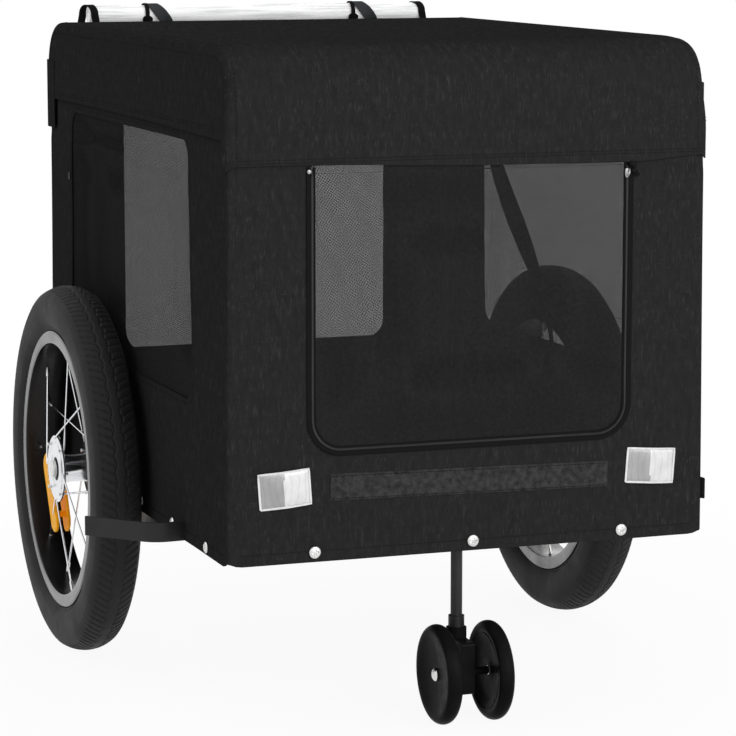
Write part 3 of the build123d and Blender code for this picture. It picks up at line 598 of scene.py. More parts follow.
def build_cover():
    profile = cover_profile()
    flat_half = COVER_HALF - EDGE
    across = [(x, 0.0) for x in np.linspace(-flat_half, flat_half, 73)]
    turn = np.linspace(0, pi / 2, 6)[1:]
    right = [(flat_half + EDGE * sin(a), EDGE * (1 - cos(a))) for a in turn]
    across = [(-x, d) for x, d in reversed(right)] + across + right
    verts = np.array([(x, y - ny * d, z - nz * d) for y, z, ny, nz in profile for x, d in across])
    run = np.concatenate([[0], np.cumsum(np.hypot(np.diff(profile[:, 0]), np.diff(profile[:, 1])))])
    uv = np.array([(x, s) for s in run for x, _ in across])
    columns = len(across)
    faces = [(a, b, c) for a, b, c, _ in grid_faces(len(profile), columns)]
    faces += [(a, c, d) for a, _, c, d in grid_faces(len(profile), columns)]
    high = profile[:, 1] >= SIDE_HEM - 1e-6
    rim = [(y - ny * EDGE, z - nz * EDGE) for y, z, ny, nz in profile[high]]
    hem = [(y, SIDE_HEM) for y in np.linspace(rim[-1][0], rim[0][0], 88)[1:-1]]
    flat_verts, flat_faces = panel(np.array(rim + hem), [], [], 0.008)
    for x in (-COVER_HALF, COVER_HALF):
        start = len(verts)
        verts = np.vstack([verts, [(x, y, z) for y, z in flat_verts]])
        uv = np.vstack([uv, flat_verts + [x * 9, 0]])
        faces += [tuple(f + start) for f in flat_faces]
    key = np.round(verts * 1e5).astype(int)
    _, first, back = np.unique(key, axis=0, return_index=True, return_inverse=True)
    verts, uv, faces = verts[first], uv[first], back.reshape(-1)[np.array(faces)]
    faces = faces[[len(set(f)) == 3 for f in faces]]
    middle = np.array([0, (FRONT + REAR) / 2, 0.4])
    tri = verts[faces]
    facing = (np.cross(tri[:, 1] - tri[:, 0], tri[:, 2] - tri[:, 0]) * (tri.mean(1) - middle)).sum(1)
    faces[facing < 0] = faces[facing < 0][:, ::-1]
    x, y, z = verts.T
    top = smooth((z - (TOP - 0.02)) / 0.018)
    side = smooth((np.abs(x) - flat_half) / EDGE)
    # on the trailer's right the slack starts further in at the front
    left_edge = -0.169 - 0.075 * smooth((y - FRONT) / 0.43)
    from_right_side = smooth((x - left_edge) / 0.075)
    from_left_side = smooth((0.240 - x) / 0.075)
    across_slack = from_right_side * from_left_side
    along_slack = smooth((y - (FRONT + 0.068)) / 0.07) * smooth(((REAR - 0.075) - y) / 0.16)
    before_rear = 1 - smooth((y - (REAR - 0.12)) / 0.05)
    sag = 0.0125 * across_slack * along_slack + 0.0009 * across_slack * before_rear
    folds = 0.0011 * ripple(x, y * 0.6, 3, 0.11) * across_slack
    new_z = z - top * (sag - folds * along_slack)
    # the hems hang a little unevenly
    end = 1 - smooth((np.minimum(y - y_front, y_rear - y)) / 0.004)
    uneven = end_hem_lift(np.where(y < 0, x, -x))
    new_z += end * uneven * (1 - smooth((z - HEM) / 0.03)) * (1 - side)
    new_z += side * side_hem_lift(y) * (1 - smooth((z - SIDE_HEM) / 0.02)) * (z > SIDE_HEM - 1e-4)
    low = 1 - smooth((z - HEM) / 0.11)
    wave = 0.0009 * ripple(x, z, 7, 0.12)
    flare = np.where(y < 0, 0.0002, 0.0026) * low
    new_y = y + np.where(y < 0, -1, 1) * end * (np.maximum(wave, -0.0004) + flare)
    new_z += (y > 0) * end * 0.0050 * (1 - smooth((z - HEM) / 0.05)) * (1 - side)
    # the front top corners are rounder than the ridges between them
    dy, dz = np.maximum(y_front + BEND - y, 0), np.maximum(z - (TOP - BEND), 0)
    reach = np.hypot(dy, dz) + 1e-9
    near_front = 1 - smooth((y - y_front - 0.035) / 0.055)
    near_top = 1 - smooth((TOP - z - 0.035) / 0.055)
    soft = smooth((reach - 0.010) / 0.035) * near_front * near_top
    soft = soft * smooth((np.abs(x) - (COVER_HALF - 0.036)) / 0.034) ** 1.5
    new_y += 0.0024 * soft * dy / reach
    new_z -= 0.0024 * soft * dz / reach
    x = x - np.sign(x) * 0.0040 * soft
    outward = 0.0007 * ripple(y, z, 11, 0.12) + 0.0010 * (1 - smooth((z - SIDE_HEM) / 0.07))
    new_x = x + np.sign(x) * side * outward
    verts = np.stack([new_x, new_y, new_z], 1)
    out = verts - middle
    solid, every = thick(verts, faces, CLOTH, out)
    piece = Soup().add(solid, every).make("roof_cover_cloth", WALL, "cabin", "cabin_fabric", 50, uv)
    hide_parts("roof_cover")
    return piece


cover = build_cover()


# ---- the walls -----------------------------------------------------------------------
DOOR_GAP = 0.0025
FOLD = door_high.z - 0.0006  # the line on which a door folds
HEADER_TOP = HEM + 0.0075
opening_half = door_high.x + DOOR_GAP
opening_low = door_low.z - DOOR_GAP
DOOR_CORNER = 0.032
FACING_TOP = 0.579  # top of the doubled cloth round a door's opening
AXLE_HOLE = 0.0128
WALL_TOP = 0.645  # the walls end here, hidden under the cover
OPENING_TOP = 0.572
SEAM = 0.007  # width of the doubled cloth round an opening
HEM_BAND = 0.013  # height of the doubled cloth along the walls' bottom
BULGE, LAP = 0.0006, 0.0005  # how far that and the cloth round an opening stand out
WALL_HALF = HALF - 0.0008
WALL_BACK = -0.0008  # the walls lie this far inside the CAD's outer faces, under the cover


def flare(z):
    """The walls widen a little below the cover, most at the bottom."""
    return 0.0008 * smooth((0.566 - z) / 0.015) + 0.0024 * smooth((0.56 - z) / 0.37)


def end_depth(x, z, end):
    """How far an end wall stands out from its plane."""
    return WALL_BACK + 0.0004 * ripple(x, z, 21 + end, 0.13) * smooth((WALL_HALF - CORNER - np.abs(x)) / 0.03)


def end_place(end, x, depth, z):
    """A point on the front (end 1) or rear (end -1) wall, out from its plane by depth."""
    return (x, FRONT - depth, z) if end > 0 else (-x, REAR + depth, z)


def side_depth(y, z, side):
    """How far a side wall stands out from its plane."""
    gap = np.minimum(y - FRONT, REAR - y) - CORNER
    return WALL_BACK + flare(z) + 0.0004 * ripple(y, z, 31 + side, 0.14) * smooth(gap / 0.03)


def lifted(z, near):
    """The walls' bottom corners are rounded off."""
    return z + 0.0030 * near ** 2 * (1 - smooth((z - BOTTOM) / 0.03))


def build_end_wall(end, name):
    flat_half = WALL_HALF - CORNER
    reach = flat_half + CORNER * pi / 2 + 0.002
    wide = opening_half + SEAM
    outline = rounded(corners_of(-reach, reach, BOTTOM, WALL_TOP), [0.001] * 4, 0.006)
    hole = rounded(corners_of(-opening_half, opening_half, opening_low, OPENING_TOP),
                   [DOOR_CORNER, DOOR_CORNER, 0.003, 0.003], 0.005)
    fold = rounded(corners_of(-wide, wide, opening_low - SEAM, FACING_TOP),
                   [DOOR_CORNER + SEAM, DOOR_CORNER + SEAM, 0.01, 0.01], 0.005)
    bends = []
    for sign in (1, -1):
        for near, far in ((-0.0012, CORNER * pi / 2), (CORNER * 0.5, CORNER * 1.05)):
            sides = sorted((sign * (flat_half + near), sign * (flat_half + far)))
            low, high = BOTTOM + 0.0008, WALL_TOP - 0.0008
            bends.append(rounded(corners_of(*sides, low, high), [0.0002] * 4, 0.006))
    flat_verts, faces = panel(outline, [hole], [fold, *bends], 0.0065)
    u, z = flat_verts.T
    a = np.clip((np.abs(u) - flat_half) / CORNER, 0, pi / 2)
    tail = np.maximum(np.abs(u) - flat_half - CORNER * pi / 2, 0)
    x = np.sign(u) * (np.minimum(np.abs(u), flat_half) + CORNER * np.sin(a) - 0.0004 * (tail > 0))
    x = x + np.sign(x) * flare(z) * smooth((np.abs(x) - 0.2) / 0.05)
    depth = np.where(a == 0, end_depth(x, z, end), WALL_BACK) - CORNER * (1 - np.cos(a)) - tail
    depth += BULGE * (z < BOTTOM + HEM_BAND) * (a == 0)
    z = lifted(z, smooth((np.abs(x) - (WALL_HALF - 0.012)) / 0.012))
    depth += LAP * inside(fold, flat_verts)
    verts = np.array([end_place(end, *p) for p in zip(x, depth, z)])
    solid, every = thick(verts, faces, CLOTH, np.array([[0, -end, 0]]) + verts * [[1, 0, 0]] * 0.3)
    uv = flat_verts + [end * 3, 0]
    piece = Soup().add(solid, every).make(name + "_wall_cloth", WALL, "cabin", "cabin_fabric", 40, uv)
    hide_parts(name + "_wall")
    return piece


WINDOW_SLANT = 0.009
window = rounded([(window_low.y + MESH_SEAM - WINDOW_SLANT, window_low.z + MESH_SEAM),
                  (window_high.y - MESH_SEAM, window_low.z + MESH_SEAM),
                  (window_high.y - MESH_SEAM, window_high.z - MESH_SEAM),
                  (window_low.y + MESH_SEAM + WINDOW_SLANT, window_high.z - MESH_SEAM)], [0.020] * 4, 0.005)


def grown(loop, distance):
    """An outline moved outward. The loop runs anticlockwise."""
    edge = np.roll(loop, -1, 0) - np.roll(loop, 1, 0)
    normal = np.stack([edge[:, 1], -edge[:, 0]], 1)
    return loop + distance * normal / np.linalg.norm(normal, axis=1)[:, None]


def build_side_wall(side, name):
    start, stop = FRONT - WALL_BACK + CORNER, REAR + WALL_BACK - CORNER
    outline = rounded(corners_of(start, stop, BOTTOM, WALL_TOP), [0.001] * 4, 0.006)
    turn = np.linspace(0, 2 * pi, 25)[:-1]
    axle_hole = np.array([(AXLE_Y + AXLE_HOLE * cos(a), AXLE_Z + AXLE_HOLE * sin(a)) for a in turn])
    flat_verts, faces = panel(outline, [window, axle_hole], [grown(window, SEAM)], 0.0065)
    y, z = flat_verts.T
    depth = side_depth(y, z, side)
    gap = np.minimum(y - FRONT, REAR - y) - CORNER
    z = lifted(z, 1 - smooth(gap / 0.006))
    facing = inside(grown(window, SEAM + 0.0002), flat_verts)
    depth += BULGE * (z < BOTTOM + HEM_BAND) * smooth(gap / 0.01) + LAP * facing
    verts = np.stack([side * (HALF + depth), y, z], 1)
    solid, every = thick(verts, faces, CLOTH, np.array([[side, 0, 0]]))
    uv = flat_verts + [side * 5, 0]
    piece = Soup().add(solid, every).make(name + "_wall_cloth", WALL, "cabin", "cabin_fabric", 40, uv)
    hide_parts(name + "_wall")
    return piece


end_walls = {end: build_end_wall(end, name) for end, name in ENDS}
side_walls = {side: build_side_wall(side, name) for side, name in SIDES}

# ---- open mesh -----------------------------------------------------------------------
THREAD_THICK = 0.00007
THREAD_HALF = 0.214  # half a thread's width, as a share of the pitch
MESH_DEEP = 0.001  # how far behind the wall's plane a door's mesh lies
# pitch and angle of each mesh: chosen apart, so that one seen through another makes few bands
CUTS = {"front_door": (0.0010, 0.0), "rear_door": (0.0009, radians(28)),
        "left_window": (0.0009, radians(45)), "right_window": (0.0014, 0.0)}


def crossings(loop, axis, value):
    """Where a line of one coordinate cuts an outline."""
    p, q = loop, np.roll(loop, -1, 0)
    hit = (p[:, axis] > value) != (q[:, axis] > value)
    t = (value - p[hit, axis]) / (q[hit, axis] - p[hit, axis])
    return np.sort(p[hit, 1 - axis] + t * (q[hit, 1 - axis] - p[hit, 1 - axis]))


def mesh_threads(loop, place, spans, cut):
    """Crossing threads cut to an outline. place(u, v, out) gives a point on the mesh."""
    soup = Soup()
    pitch, bias = cut
    c, d = cos(bias), sin(bias)
    loop = loop @ np.array([[c, d], [-d, c]]).T
    low, high = loop.min(0), loop.max(0)
    for axis in (0, 1):
        for value in np.arange(low[axis] + pitch / 2, high[axis], pitch):
            cuts = crossings(loop, axis, value)
            if len(cuts) < 2:
                continue
            along = np.linspace(cuts[0], cuts[-1], spans + 1)
            rows = []
            for t in along:
                for across, out in ((-1, -1), (1, -1), (1, 1), (-1, 1)):
                    uv = [0, 0]
                    uv[axis], uv[1 - axis] = value + across * pitch * THREAD_HALF, t
                    lift = out * THREAD_THICK / 2 + axis * THREAD_THICK * 0.4
                    rows.append(place(c * uv[0] - d * uv[1], d * uv[0] + c * uv[1], lift))
            soup.add(rows, tube_faces(len(along), 4))
    return soup


door_half_wide, door_tall = door_high.x, door_high.z - door_low.z
door_loop = rounded(corners_of(-door_half_wide, door_half_wide, door_low.z, door_high.z),
                    [DOOR_CORNER - DOOR_GAP] * 2 + [0.001] * 2, 0.004)


def door_bulge(x, z):
    """The door hangs a few millimetres slack."""
    across = smooth((door_half_wide - abs(x)) / 0.1)
    return -0.0035 * across * smooth((z - door_low.z) / 0.09) * smooth((door_high.z - z) / 0.09)


def build_door(end, name):
    def hanging(u, v, out):
        return end_place(end, u, out - MESH_DEEP + door_bulge(u, v), v)

    def fixed(u, v, out):
        return end_place(end, u, out - MESH_DEEP - 0.0004, v)

    piece = mesh_threads(door_loop, hanging, 6, CUTS[name]).make(name + "_mesh", THREAD, name, "window_mesh")
    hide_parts(name)
    low, high, wide = FOLD, HEADER_TOP, opening_half + 0.0012
    strip = np.array(corners_of(-wide, wide, low, high))
    header = mesh_threads(strip, fixed, 2, CUTS[name])
    header = header.make(name + "_header_mesh", THREAD, "cabin", "window_mesh")
    return piece


def build_window(side, name):
    x = (window_low.x + window_high.x) / 2
    loop = grown(window, MESH_SEAM - 0.001)
    (front, low), (rear, high) = loop.min(0), loop.max(0)

    def place(u, v, out):
        slack = smooth(min(u - front, rear - u) / 0.12) * smooth(min(v - low, high - v) / 0.1)
        return side * (x + out + flare(v) - 0.003 * slack), u, v

    piece = mesh_threads(loop, place, 6, CUTS[name]).make(name + "_mesh", THREAD, "cabin", "window_mesh")
    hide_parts(name)
    return piece


for end, name in ENDS:
    build_door(end, name + "_door")
for side, name in SIDES:
    build_window(side, name + "_window")


# ---- rows of stitches, laid on whatever cloth is under them ---------------------------
def surface_of(piece):
    me = piece.data
    return BVHTree.FromPolygons([tuple(v.co) for v in me.vertices], [tuple(p.vertices) for p in me.polygons])


skins = {"cover": surface_of(cover)}
skins.update({name: surface_of(end_walls[end]) for end, name in ENDS})
skins.update({name: surface_of(side_walls[side]) for side, name in SIDES})
OUTWARD = {"front": (0, -1, 0), "rear": (0, 1, 0), "left": (1, 0, 0), "right": (-1, 0, 0), "top": (0, 0, 1)}


def laid(skin, point, face, out):
    """The place on a cloth straight behind a point, and the cloth's direction there."""
    direction = Vector(OUTWARD[face])
    place, normal, _, _ = skins[skin].ray_cast(Vector(point) + direction * 0.06, -direction)
    return (place + direction * out, normal) if place else (None, None)


STITCH_PITCH, STITCH_LENGTH = 0.0042, 0.0030


def stitch_row(soup, skin, face, points):
    """Short thread ends along a line, each lying on the cloth."""
    for here, ahead in along_line(points, STITCH_PITCH / 2, STITCH_PITCH, 0.001):
        place, normal = laid(skin, here, face, 0.0001)
        if place:
            soup.add(*box_at(place, ahead, ahead.cross(normal), (STITCH_LENGTH, 0.0006, 0.0005)))


def wall_line(face, pairs):
    """Points of a face from (across, z) pairs."""
    if face in ("front", "rear"):
        y = FRONT if face == "front" else REAR
        return [(u, y, z) for u, z in pairs]
    x = HALF if face == "left" else -HALF
    return [(x, u, z) for u, z in pairs]


def u_path(half, bottom, top, radius, step=0.003):
    """Down one side of an opening, along its bottom and up the other side."""
    line = [(-half, z) for z in np.arange(top, bottom + radius, -step)]
    arc = np.linspace(pi, 1.5 * pi, max(4, ceil(radius * pi / 2 / step)))
    line += [(-half + radius + radius * cos(a), bottom + radius + radius * sin(a)) for a in arc]
    n = ceil((2 * half - 2 * radius) / step)
    line += [(-half + radius + k * (2 * half - 2 * radius) / n, bottom) for k in range(1, n)]
    return np.array(line + [(-x, z) for x, z in reversed(line[:len(line) - n + 1])])


HEM_STITCHES = (0.0075, 0.0105)  # the two rows above the cover's hems
BASE_STITCHES = BOTTOM + 0.011
OPENING_STITCHES = 0.0055  # how far outside an opening its row runs
seams = Soup()
for _, face in ENDS:
    for up in HEM_STITCHES:
        stitch_row(seams, "cover", face, wall_line(face, [(-0.250, HEM + up), (0.250, HEM + up)]))
    stitch_row(seams, face, face, wall_line(face, [(-0.244, BASE_STITCHES), (0.244, BASE_STITCHES)]))
    around = u_path(opening_half + OPENING_STITCHES, opening_low - OPENING_STITCHES, HEM - 0.001,
                    DOOR_CORNER + OPENING_STITCHES)
    stitch_row(seams, face, face, wall_line(face, around))
for sign, face in SIDES:
    for up in HEM_STITCHES:
        row = [(FRONT + 0.001, SIDE_HEM + up), (REAR - 0.001, SIDE_HEM + up)]
        stitch_row(seams, "cover", face, wall_line(face, row))
    row = [(FRONT + 0.009, BASE_STITCHES), (REAR - 0.009, BASE_STITCHES)]
    stitch_row(seams, face, face, wall_line(face, row))
    around = grown(window, OPENING_STITCHES)
    stitch_row(seams, face, face, wall_line(face, [tuple(p) for p in around if p[1] < SIDE_HEM - 0.004]))
    ridge = sign * (COVER_HALF - EDGE - 0.003)
    stitch_row(seams, "cover", "top", [(ridge, y, TOP) for y in np.arange(FRONT + 0.035, REAR - 0.034, 0.01)])
    for face2, y in (("front", FRONT), ("rear", REAR)):
        stitch_row(seams, "cover", face2, [(ridge, y, z) for z in np.arange(HEM + 0.012, TOP - 0.018, 0.01)])
    inward = EDGE + 0.004
    arch = [(y - ny * inward, z - nz * inward) for y, z, ny, nz in cover_profile() if z > SIDE_HEM + 0.014]
    stitch_row(seams, "cover", face, wall_line(face, arch))
seams.make("seam_stitching", SEWING, "cabin", "cabin_fabric")


# ---- zips ----------------------------------------------------------------------------
def on_wall(end, x, out, z):
    """A point that stands out from an end wall's cloth."""
    return end_place(end, x, end_depth(x, z, end) + out, z)


def in_wall(end, pairs, out):
    return [on_wall(end, x, out, z) for x, z in pairs]


def ribbon_on_wall(end, half, bottom, radius, width, thickness, out, top=HEM + 0.003):
    line = in_wall(end, u_path(half, bottom, top, radius), out)
    return swept(line, lying(width, thickness), (0, -end, 0))


TOOTH_PITCH = 0.0017


def coil(end, half, bottom, radius, out, phase, top):
    """The zip's teeth. The phase sets one row's teeth between the other's."""
    soup = Soup()
    line = in_wall(end, u_path(half, bottom, top, radius, 0.001), out)
    for here, ahead in along_line(line, 0.001 + phase, TOOTH_PITCH, 0.0005):
        across = ahead.cross(Vector((0, -end, 0)))
        soup.add(*box_at(here, across, ahead, (0.0015, 0.0009, 0.0011)))
    return soup


def ribbon_knot(end, x, z):
    """The folded end of the zip's tape, above its slider."""
    bends = ((-0.0030, 0, 0.0006), (-0.0010, 0.0012, 0.0010), (0.0010, 0.0014, 0.0),
             (0.0036, 0.0006, -0.0018))
    line = [end_place(end, x + a, 0.0022 + b, z + c) for a, b, c in bends]
    return swept(smooth_line(line, 12), flat(0.0046, 0.0016), (0, 0, 1))


BOUND = 0.0016  # thickness of a door's binding


def build_zip(end, name):
    """The binding, the two rows of teeth and the tape round a door's opening."""
    radius, fold, out = DOOR_CORNER, FOLD, (0, -end, 0)
    wide = 0.0032 if end > 0 else 0.0016
    inset = (wide - 0.0016) / 2
    edge = door_half_wide - inset
    bound = Soup().add(*ribbon_on_wall(end, edge, door_low.z + inset, radius - 0.0025 - inset, wide, BOUND,
                                       0.0002, fold))
    if end < 0:  # the rear door has a wider hem along its bottom and one side
        across = np.linspace(0.012 - door_half_wide, door_half_wide - 0.012, 40)
        line = in_wall(end, [(x, door_low.z + 0.0040) for x in across], 0.0001)
        bound.add(*swept(line, lying(0.0080, WEB), out))
        side_line = u_path(door_half_wide - 0.0026, door_low.z + 0.0026, fold, radius - 0.0051)
        line = in_wall(end, [p for p in side_line if p[0] < radius - door_half_wide], 0.0001)
        bound.add(*swept(line, lying(0.0048, WEB), out))
    bound.add(*ribbon_on_wall(end, door_half_wide + 0.0006, door_low.z - 0.0006, radius - 0.0019, 0.0032,
                              0.0006, -0.0010, fold))
    bound.make(name + "_door_binding", BINDING, name + "_door", "cabin_fabric")
    inner = coil(end, door_half_wide + 0.0008, door_low.z - 0.0008, radius - 0.0017, 0.0006, 0, fold - 0.0006)
    inner.make(name + "_door_zip_inner_coil", COIL, name + "_door", "black_plastic")
    outer = coil(end, opening_half - 0.0008, opening_low + 0.0008, radius - 0.0008, 0.0006, TOOTH_PITCH / 2,
                 fold - 0.0012)
    outer.make(name + "_door_zip_outer_coil", COIL, "cabin", "black_plastic")
    tape = Soup()
    for grow, broad, thickness, lift in ((0.0046, 0.011, 0.0006, -0.0014), (0.0022, 0.0050, 0.0014, 0.0010)):
        tape.add(*ribbon_on_wall(end, opening_half + grow, opening_low - grow, radius + grow, broad,
                                 thickness, lift))
    for x in (-edge, edge):  # the binding above the line that the door folds on
        line = in_wall(end, [(x, fold + 0.0003), (x, HEM + 0.003)], 0.0002)
        tape.add(*swept(line, lying(wide, BOUND), out))
    tape.make(name + "_door_zip_tape", BINDING, "cabin", "cabin_fabric")


def build_slider(end, name):
    """The zip's slider and pull, and the stop at its other end."""
    x, z = opening_half - 0.0034, HEM - 0.0120
    metal_bits = Soup()
    spine = [end_place(end, x, 0.0030, z + d) for d in np.linspace(-0.0044, 0.0044, 9)]
    widths = [0.55, 0.72, 0.85, 0.95, 1.0, 1.0, 0.95, 0.9, 0.7]
    section = flat(0.0040, 0.0028)
    v, f = swept(spine, section, (1, 0, 0))
    v = v.reshape(9, 8, 3)
    centre_line = np.array(spine)[:, None]
    metal_bits.add((centre_line + (v - centre_line) * np.array(widths)[:, None, None]).reshape(-1, 3), f)
    loop = [end_place(end, x + 0.0003 * k, 0.0052 + 0.0022 * sin(pi * k / 6), z - 0.0035 + 0.0075 * k / 6)
            for k in range(7)]
    metal_bits.add(*swept(loop, ring(0.0007, 6), (1, 0, 0)))
    bends = ((0.0042, 0.0068, 0.0014), (0.0060, 0.0060, 0.0026), (0.0080, 0.0046, 0.0024),
             (0.0106, 0.0038, 0.0004), (0.0130, 0.0036, -0.0030))
    pull = smooth_line([end_place(end, x + a, b, z + c) for a, b, c in bends], 16)
    grip = Soup().add(*swept(pull, flat(0.0038, WEB), (0, 0, 1)))
    grip.add(*ribbon_knot(end, x + 0.0066, z + 0.0085))
    grip.make(name + "_zip_pull", NYLON, "cabin", "black_plastic")
    stop = [(0, 0.0019), (0.0008, 0.0022), (0.0018, 0.0020), (0.0024, 0.0011), (0.0025, 0.0001)]
    place = end_place(end, -opening_half - 0.0024, 0.0010, HEM - 0.0014)
    metal_bits.add(*turned(place, (0, -end, 0), stop, 20))
    metal_bits.make(name + "_zip_slider", DULL_ZINC, "cabin", "bright_steel")


for end, name in ENDS:
    build_zip(end, name)
    build_slider(end, name)


# ---- reflective patches and hook strips ----------------------------------------------
def patch(end, centre, tilt, half_wide, half_tall):
    """A creased patch of reflective tape, and the raised border round it."""
    nu, nv = 29, 15
    u, v = np.meshgrid(np.linspace(-1, 1, nu), np.linspace(-1, 1, nv), indexing="ij")
    soften = np.minimum(1, 12 * (1 - np.maximum(np.abs(u), np.abs(v))))
    crease = -0.06
    ridge = np.where(u < crease, (u + 1) / (1 + crease), (1 - u) / (1 - crease))
    crinkle = ripple(u * half_wide, v * half_tall, 50, 0.02)
    out = 0.0004 + 0.0005 * soften + 0.0044 * ridge * (1 - 0.25 * v * v) + 0.0002 * crinkle
    x = centre[0] + u * half_wide * cos(tilt) - v * half_tall * sin(tilt)
    z = centre[1] + u * half_wide * sin(tilt) + v * half_tall * cos(tilt)
    wall = end_depth(x, z, end)
    top = [end_place(end, *p) for p in zip(x.ravel(), (wall + out).ravel(), z.ravel())]
    bottom = [end_place(end, *p) for p in zip(x.ravel(), wall.ravel() - 0.0003, z.ravel())]
    border = []
    for a, b in ((-1, -1), (1, -1), (1, 1), (-1, 1), (-1, -1)):
        border.append((a * (half_wide - 0.0006), b * (half_tall - 0.0006)))
    line = []
    for (a, b), (c, d) in zip(border, border[1:]):
        for t in np.linspace(0, 1, 10)[:-1]:
            uu, vv = a + (c - a) * t, b + (d - b) * t
            long_side = abs(abs(vv) - half_tall + 0.0006) < 1e-6
            r = np.interp(abs(uu) / half_wide, [0, 1], [1, 0]) if long_side else 0
            line.append(end_place(end, centre[0] + uu * cos(tilt) - vv * sin(tilt), 0.0004 + 0.0033 * r,
                                  centre[1] + uu * sin(tilt) + vv * cos(tilt)))
    line.append(line[0])
    return (top + bottom, closed_grid(nu, nv, end > 0)), swept(line, lying(0.0022, 0.0008), (0, -end, 0))


front_patch_low, front_patch_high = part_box("front_patches")
strip_low, strip_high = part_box("front_hook_strip")
patch_z = (front_patch_low.z + front_patch_high.z) / 2
patch_half_tall = (front_patch_high.z - front_patch_low.z) / 2 - 0.001
patch_x = front_patch_high.x - 0.0275
STRIP_TILT = 0.016


def build_patches(end, name):
    soup, edges = Soup(), Soup()
    for sign in (-1, 1):
        shape, border = patch(end, (sign * patch_x, patch_z), -sign * radians(4.0), 0.0268, patch_half_tall)
        soup.add(*shape)
        edges.add(*border)
    piece = soup.make(name + "_patch_tape", TAPE, "cabin", "reflective_tape", 25)
    piece.data.materials.append(TAPE_PAINTED_SHADE)
    # the left half of each patch, seen from in front of its wall, takes the darker copy: painted shade
    for polygon in piece.data.polygons:
        offset = (abs(polygon.center.x) - patch_x) * (1 if polygon.center.x > 0 else -1)
        if (offset if end > 0 else -offset) < -0.0016:
            polygon.material_index = 1
    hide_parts(name + "_patches")
    edges.make(name + "_patch_border", TAPE, "cabin", "reflective_tape")


def build_strip(end, name):
    """The rough strip below a door, and its two rows of stitches."""
    half_long, half_high = strip_high.x, (strip_high.z - strip_low.z) / 2
    strip_z = (strip_high.z + strip_low.z) / 2 + 0.0005
    nu, nv = 200, 22
    u, v = np.meshgrid(np.linspace(-1, 1, nu), np.linspace(-1, 1, nv), indexing="ij")
    rng = np.random.default_rng(77 + end)
    edge = np.minimum(1, 9 * (1 - np.abs(v)) + 0.15) * np.minimum(1, 90 * (1 - np.abs(u)) + 0.15)
    out = 0.0003 + 0.0011 * edge + rng.uniform(-0.00028, 0.00028, u.shape) * edge
    x = u * half_long + rng.uniform(-0.0002, 0.0002, u.shape)
    z = strip_z + v * (half_high - 0.001) - STRIP_TILT * x
    top = [on_wall(end, *p) for p in zip(x.ravel(), out.ravel(), z.ravel())]
    base = [on_wall(end, a, -0.0002, c) for a, c in zip(x.ravel(), z.ravel())]
    tape = Soup().add(top + base, closed_grid(nu, nv, end > 0))
    piece = tape.make(name + "_hook_tape", LOOP_TAPE, "cabin", "webbing", 60)
    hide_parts(name + "_hook_strip")
    rows = Soup()
    for offset in (half_high - 0.0032, -half_high + 0.0032):
        for a in np.arange(-half_long + 0.003, half_long - 0.002, 0.0040):
            place = on_wall(end, a, 0.00155, strip_z + offset - STRIP_TILT * a)
            rows.add(*box_at(place, (1, 0, -STRIP_TILT), (0, 0, 1), (0.0028, 0.0006, 0.0006)))
    rows.make(name + "_hook_tape_stitching", SEWING, "cabin", "cabin_fabric")


for end, name in ENDS:
    build_patches(end, name)
    build_strip(end, name)


# ---- screws, snaps -------------------------------------------------------------------
def screw(soup, place, axis, radius):
    """A domed head with a cross recess."""
    def recess(u, v):
        r = hypot(u, v) / radius
        arm = min(abs(u), abs(v)) / radius
        if r >= 0.7:
            return 0
        return -0.28 * radius * (1 - smooth((arm - 0.10) / 0.10)) * (1 - smooth((r - 0.48) / 0.12))

    profile = [(0.0, radius * 0.96), (radius * 0.12, radius)]
    profile += [(radius * (0.12 + 0.38 * cos(t)), radius * sin(t)) for t in np.linspace(pi / 2, 0.02, 14)[1:]]
    soup.add(*turned(place, axis, profile, 36, recess))


END_SCREWS = (-0.166, 0.002, 0.165)
END_SCREW_RADIUS, SIDE_SCREW_RADIUS = 0.0062, 0.0058
SIDE_SCREW_FIRST, SIDE_SCREW_PITCH, SIDE_SCREW_REAR = 0.068, 0.119, 0.560  # behind the front wall
SIDE_SCREW_LOW, SIDE_SCREW_RISE = 0.188, 0.0025
screws = Soup()
for end in (1, -1):
    for x in END_SCREWS:
        screw(screws, end_place(end, x, 0.0004, BOTTOM + 0.010), (0, -end, 0), END_SCREW_RADIUS)
for side in (1, -1):
    spots = [(SIDE_SCREW_FIRST + SIDE_SCREW_PITCH * k, SIDE_SCREW_LOW + SIDE_SCREW_RISE * k)
             for k in range(3)]
    for y, z in [*spots, (SIDE_SCREW_REAR, SIDE_SCREW_LOW)]:
        x = side * (HALF + side_depth(FRONT + y, z, side) + 0.0008)
        screw(screws, (x, FRONT + y, z), (side, 0, 0), SIDE_SCREW_RADIUS)
screws.make("cover_screws", SILVER, "cabin", "bright_steel")
FOOT_FRONT, FOOT_REAR = FRONT + 0.214, FRONT + 0.350
feet = Soup()
for side in (1, -1):
    loop = rounded([(FOOT_FRONT, 0.171), (FOOT_REAR, 0.160), (FOOT_REAR, 0.190), (FOOT_FRONT, 0.190)],
                   [0.007, 0.007, 0.002, 0.002], 0.002)
    face = [(side * (HALF - 0.0012), y, z) for y, z in loop]
    back = [(side * (HALF - 0.0040), y, z) for y, z in loop]
    feet.add(face + back, tube_faces(2, len(loop)))
feet.make("guard_feet", STEEL, "cabin", "black_painted_steel")
tabs = Soup()
for side in (1, -1):
    bends = ((0.0008, -0.036), (0.0009, -0.014), (0.0003, -0.0015), (-0.0040, 0.0016), (-0.0200, 0.0026))
    line = [(side * COVER_HALF + side * a, y_rear + b, SIDE_HEM + 0.007) for a, b in bends]
    tabs.add(*swept(smooth_line(line, 30), flat(0.078, WEB), (0, 0, 1)))
LOW_TAB = 0.2265  # height of the small tab at the front corner
edge = WALL_HALF + flare(LOW_TAB)
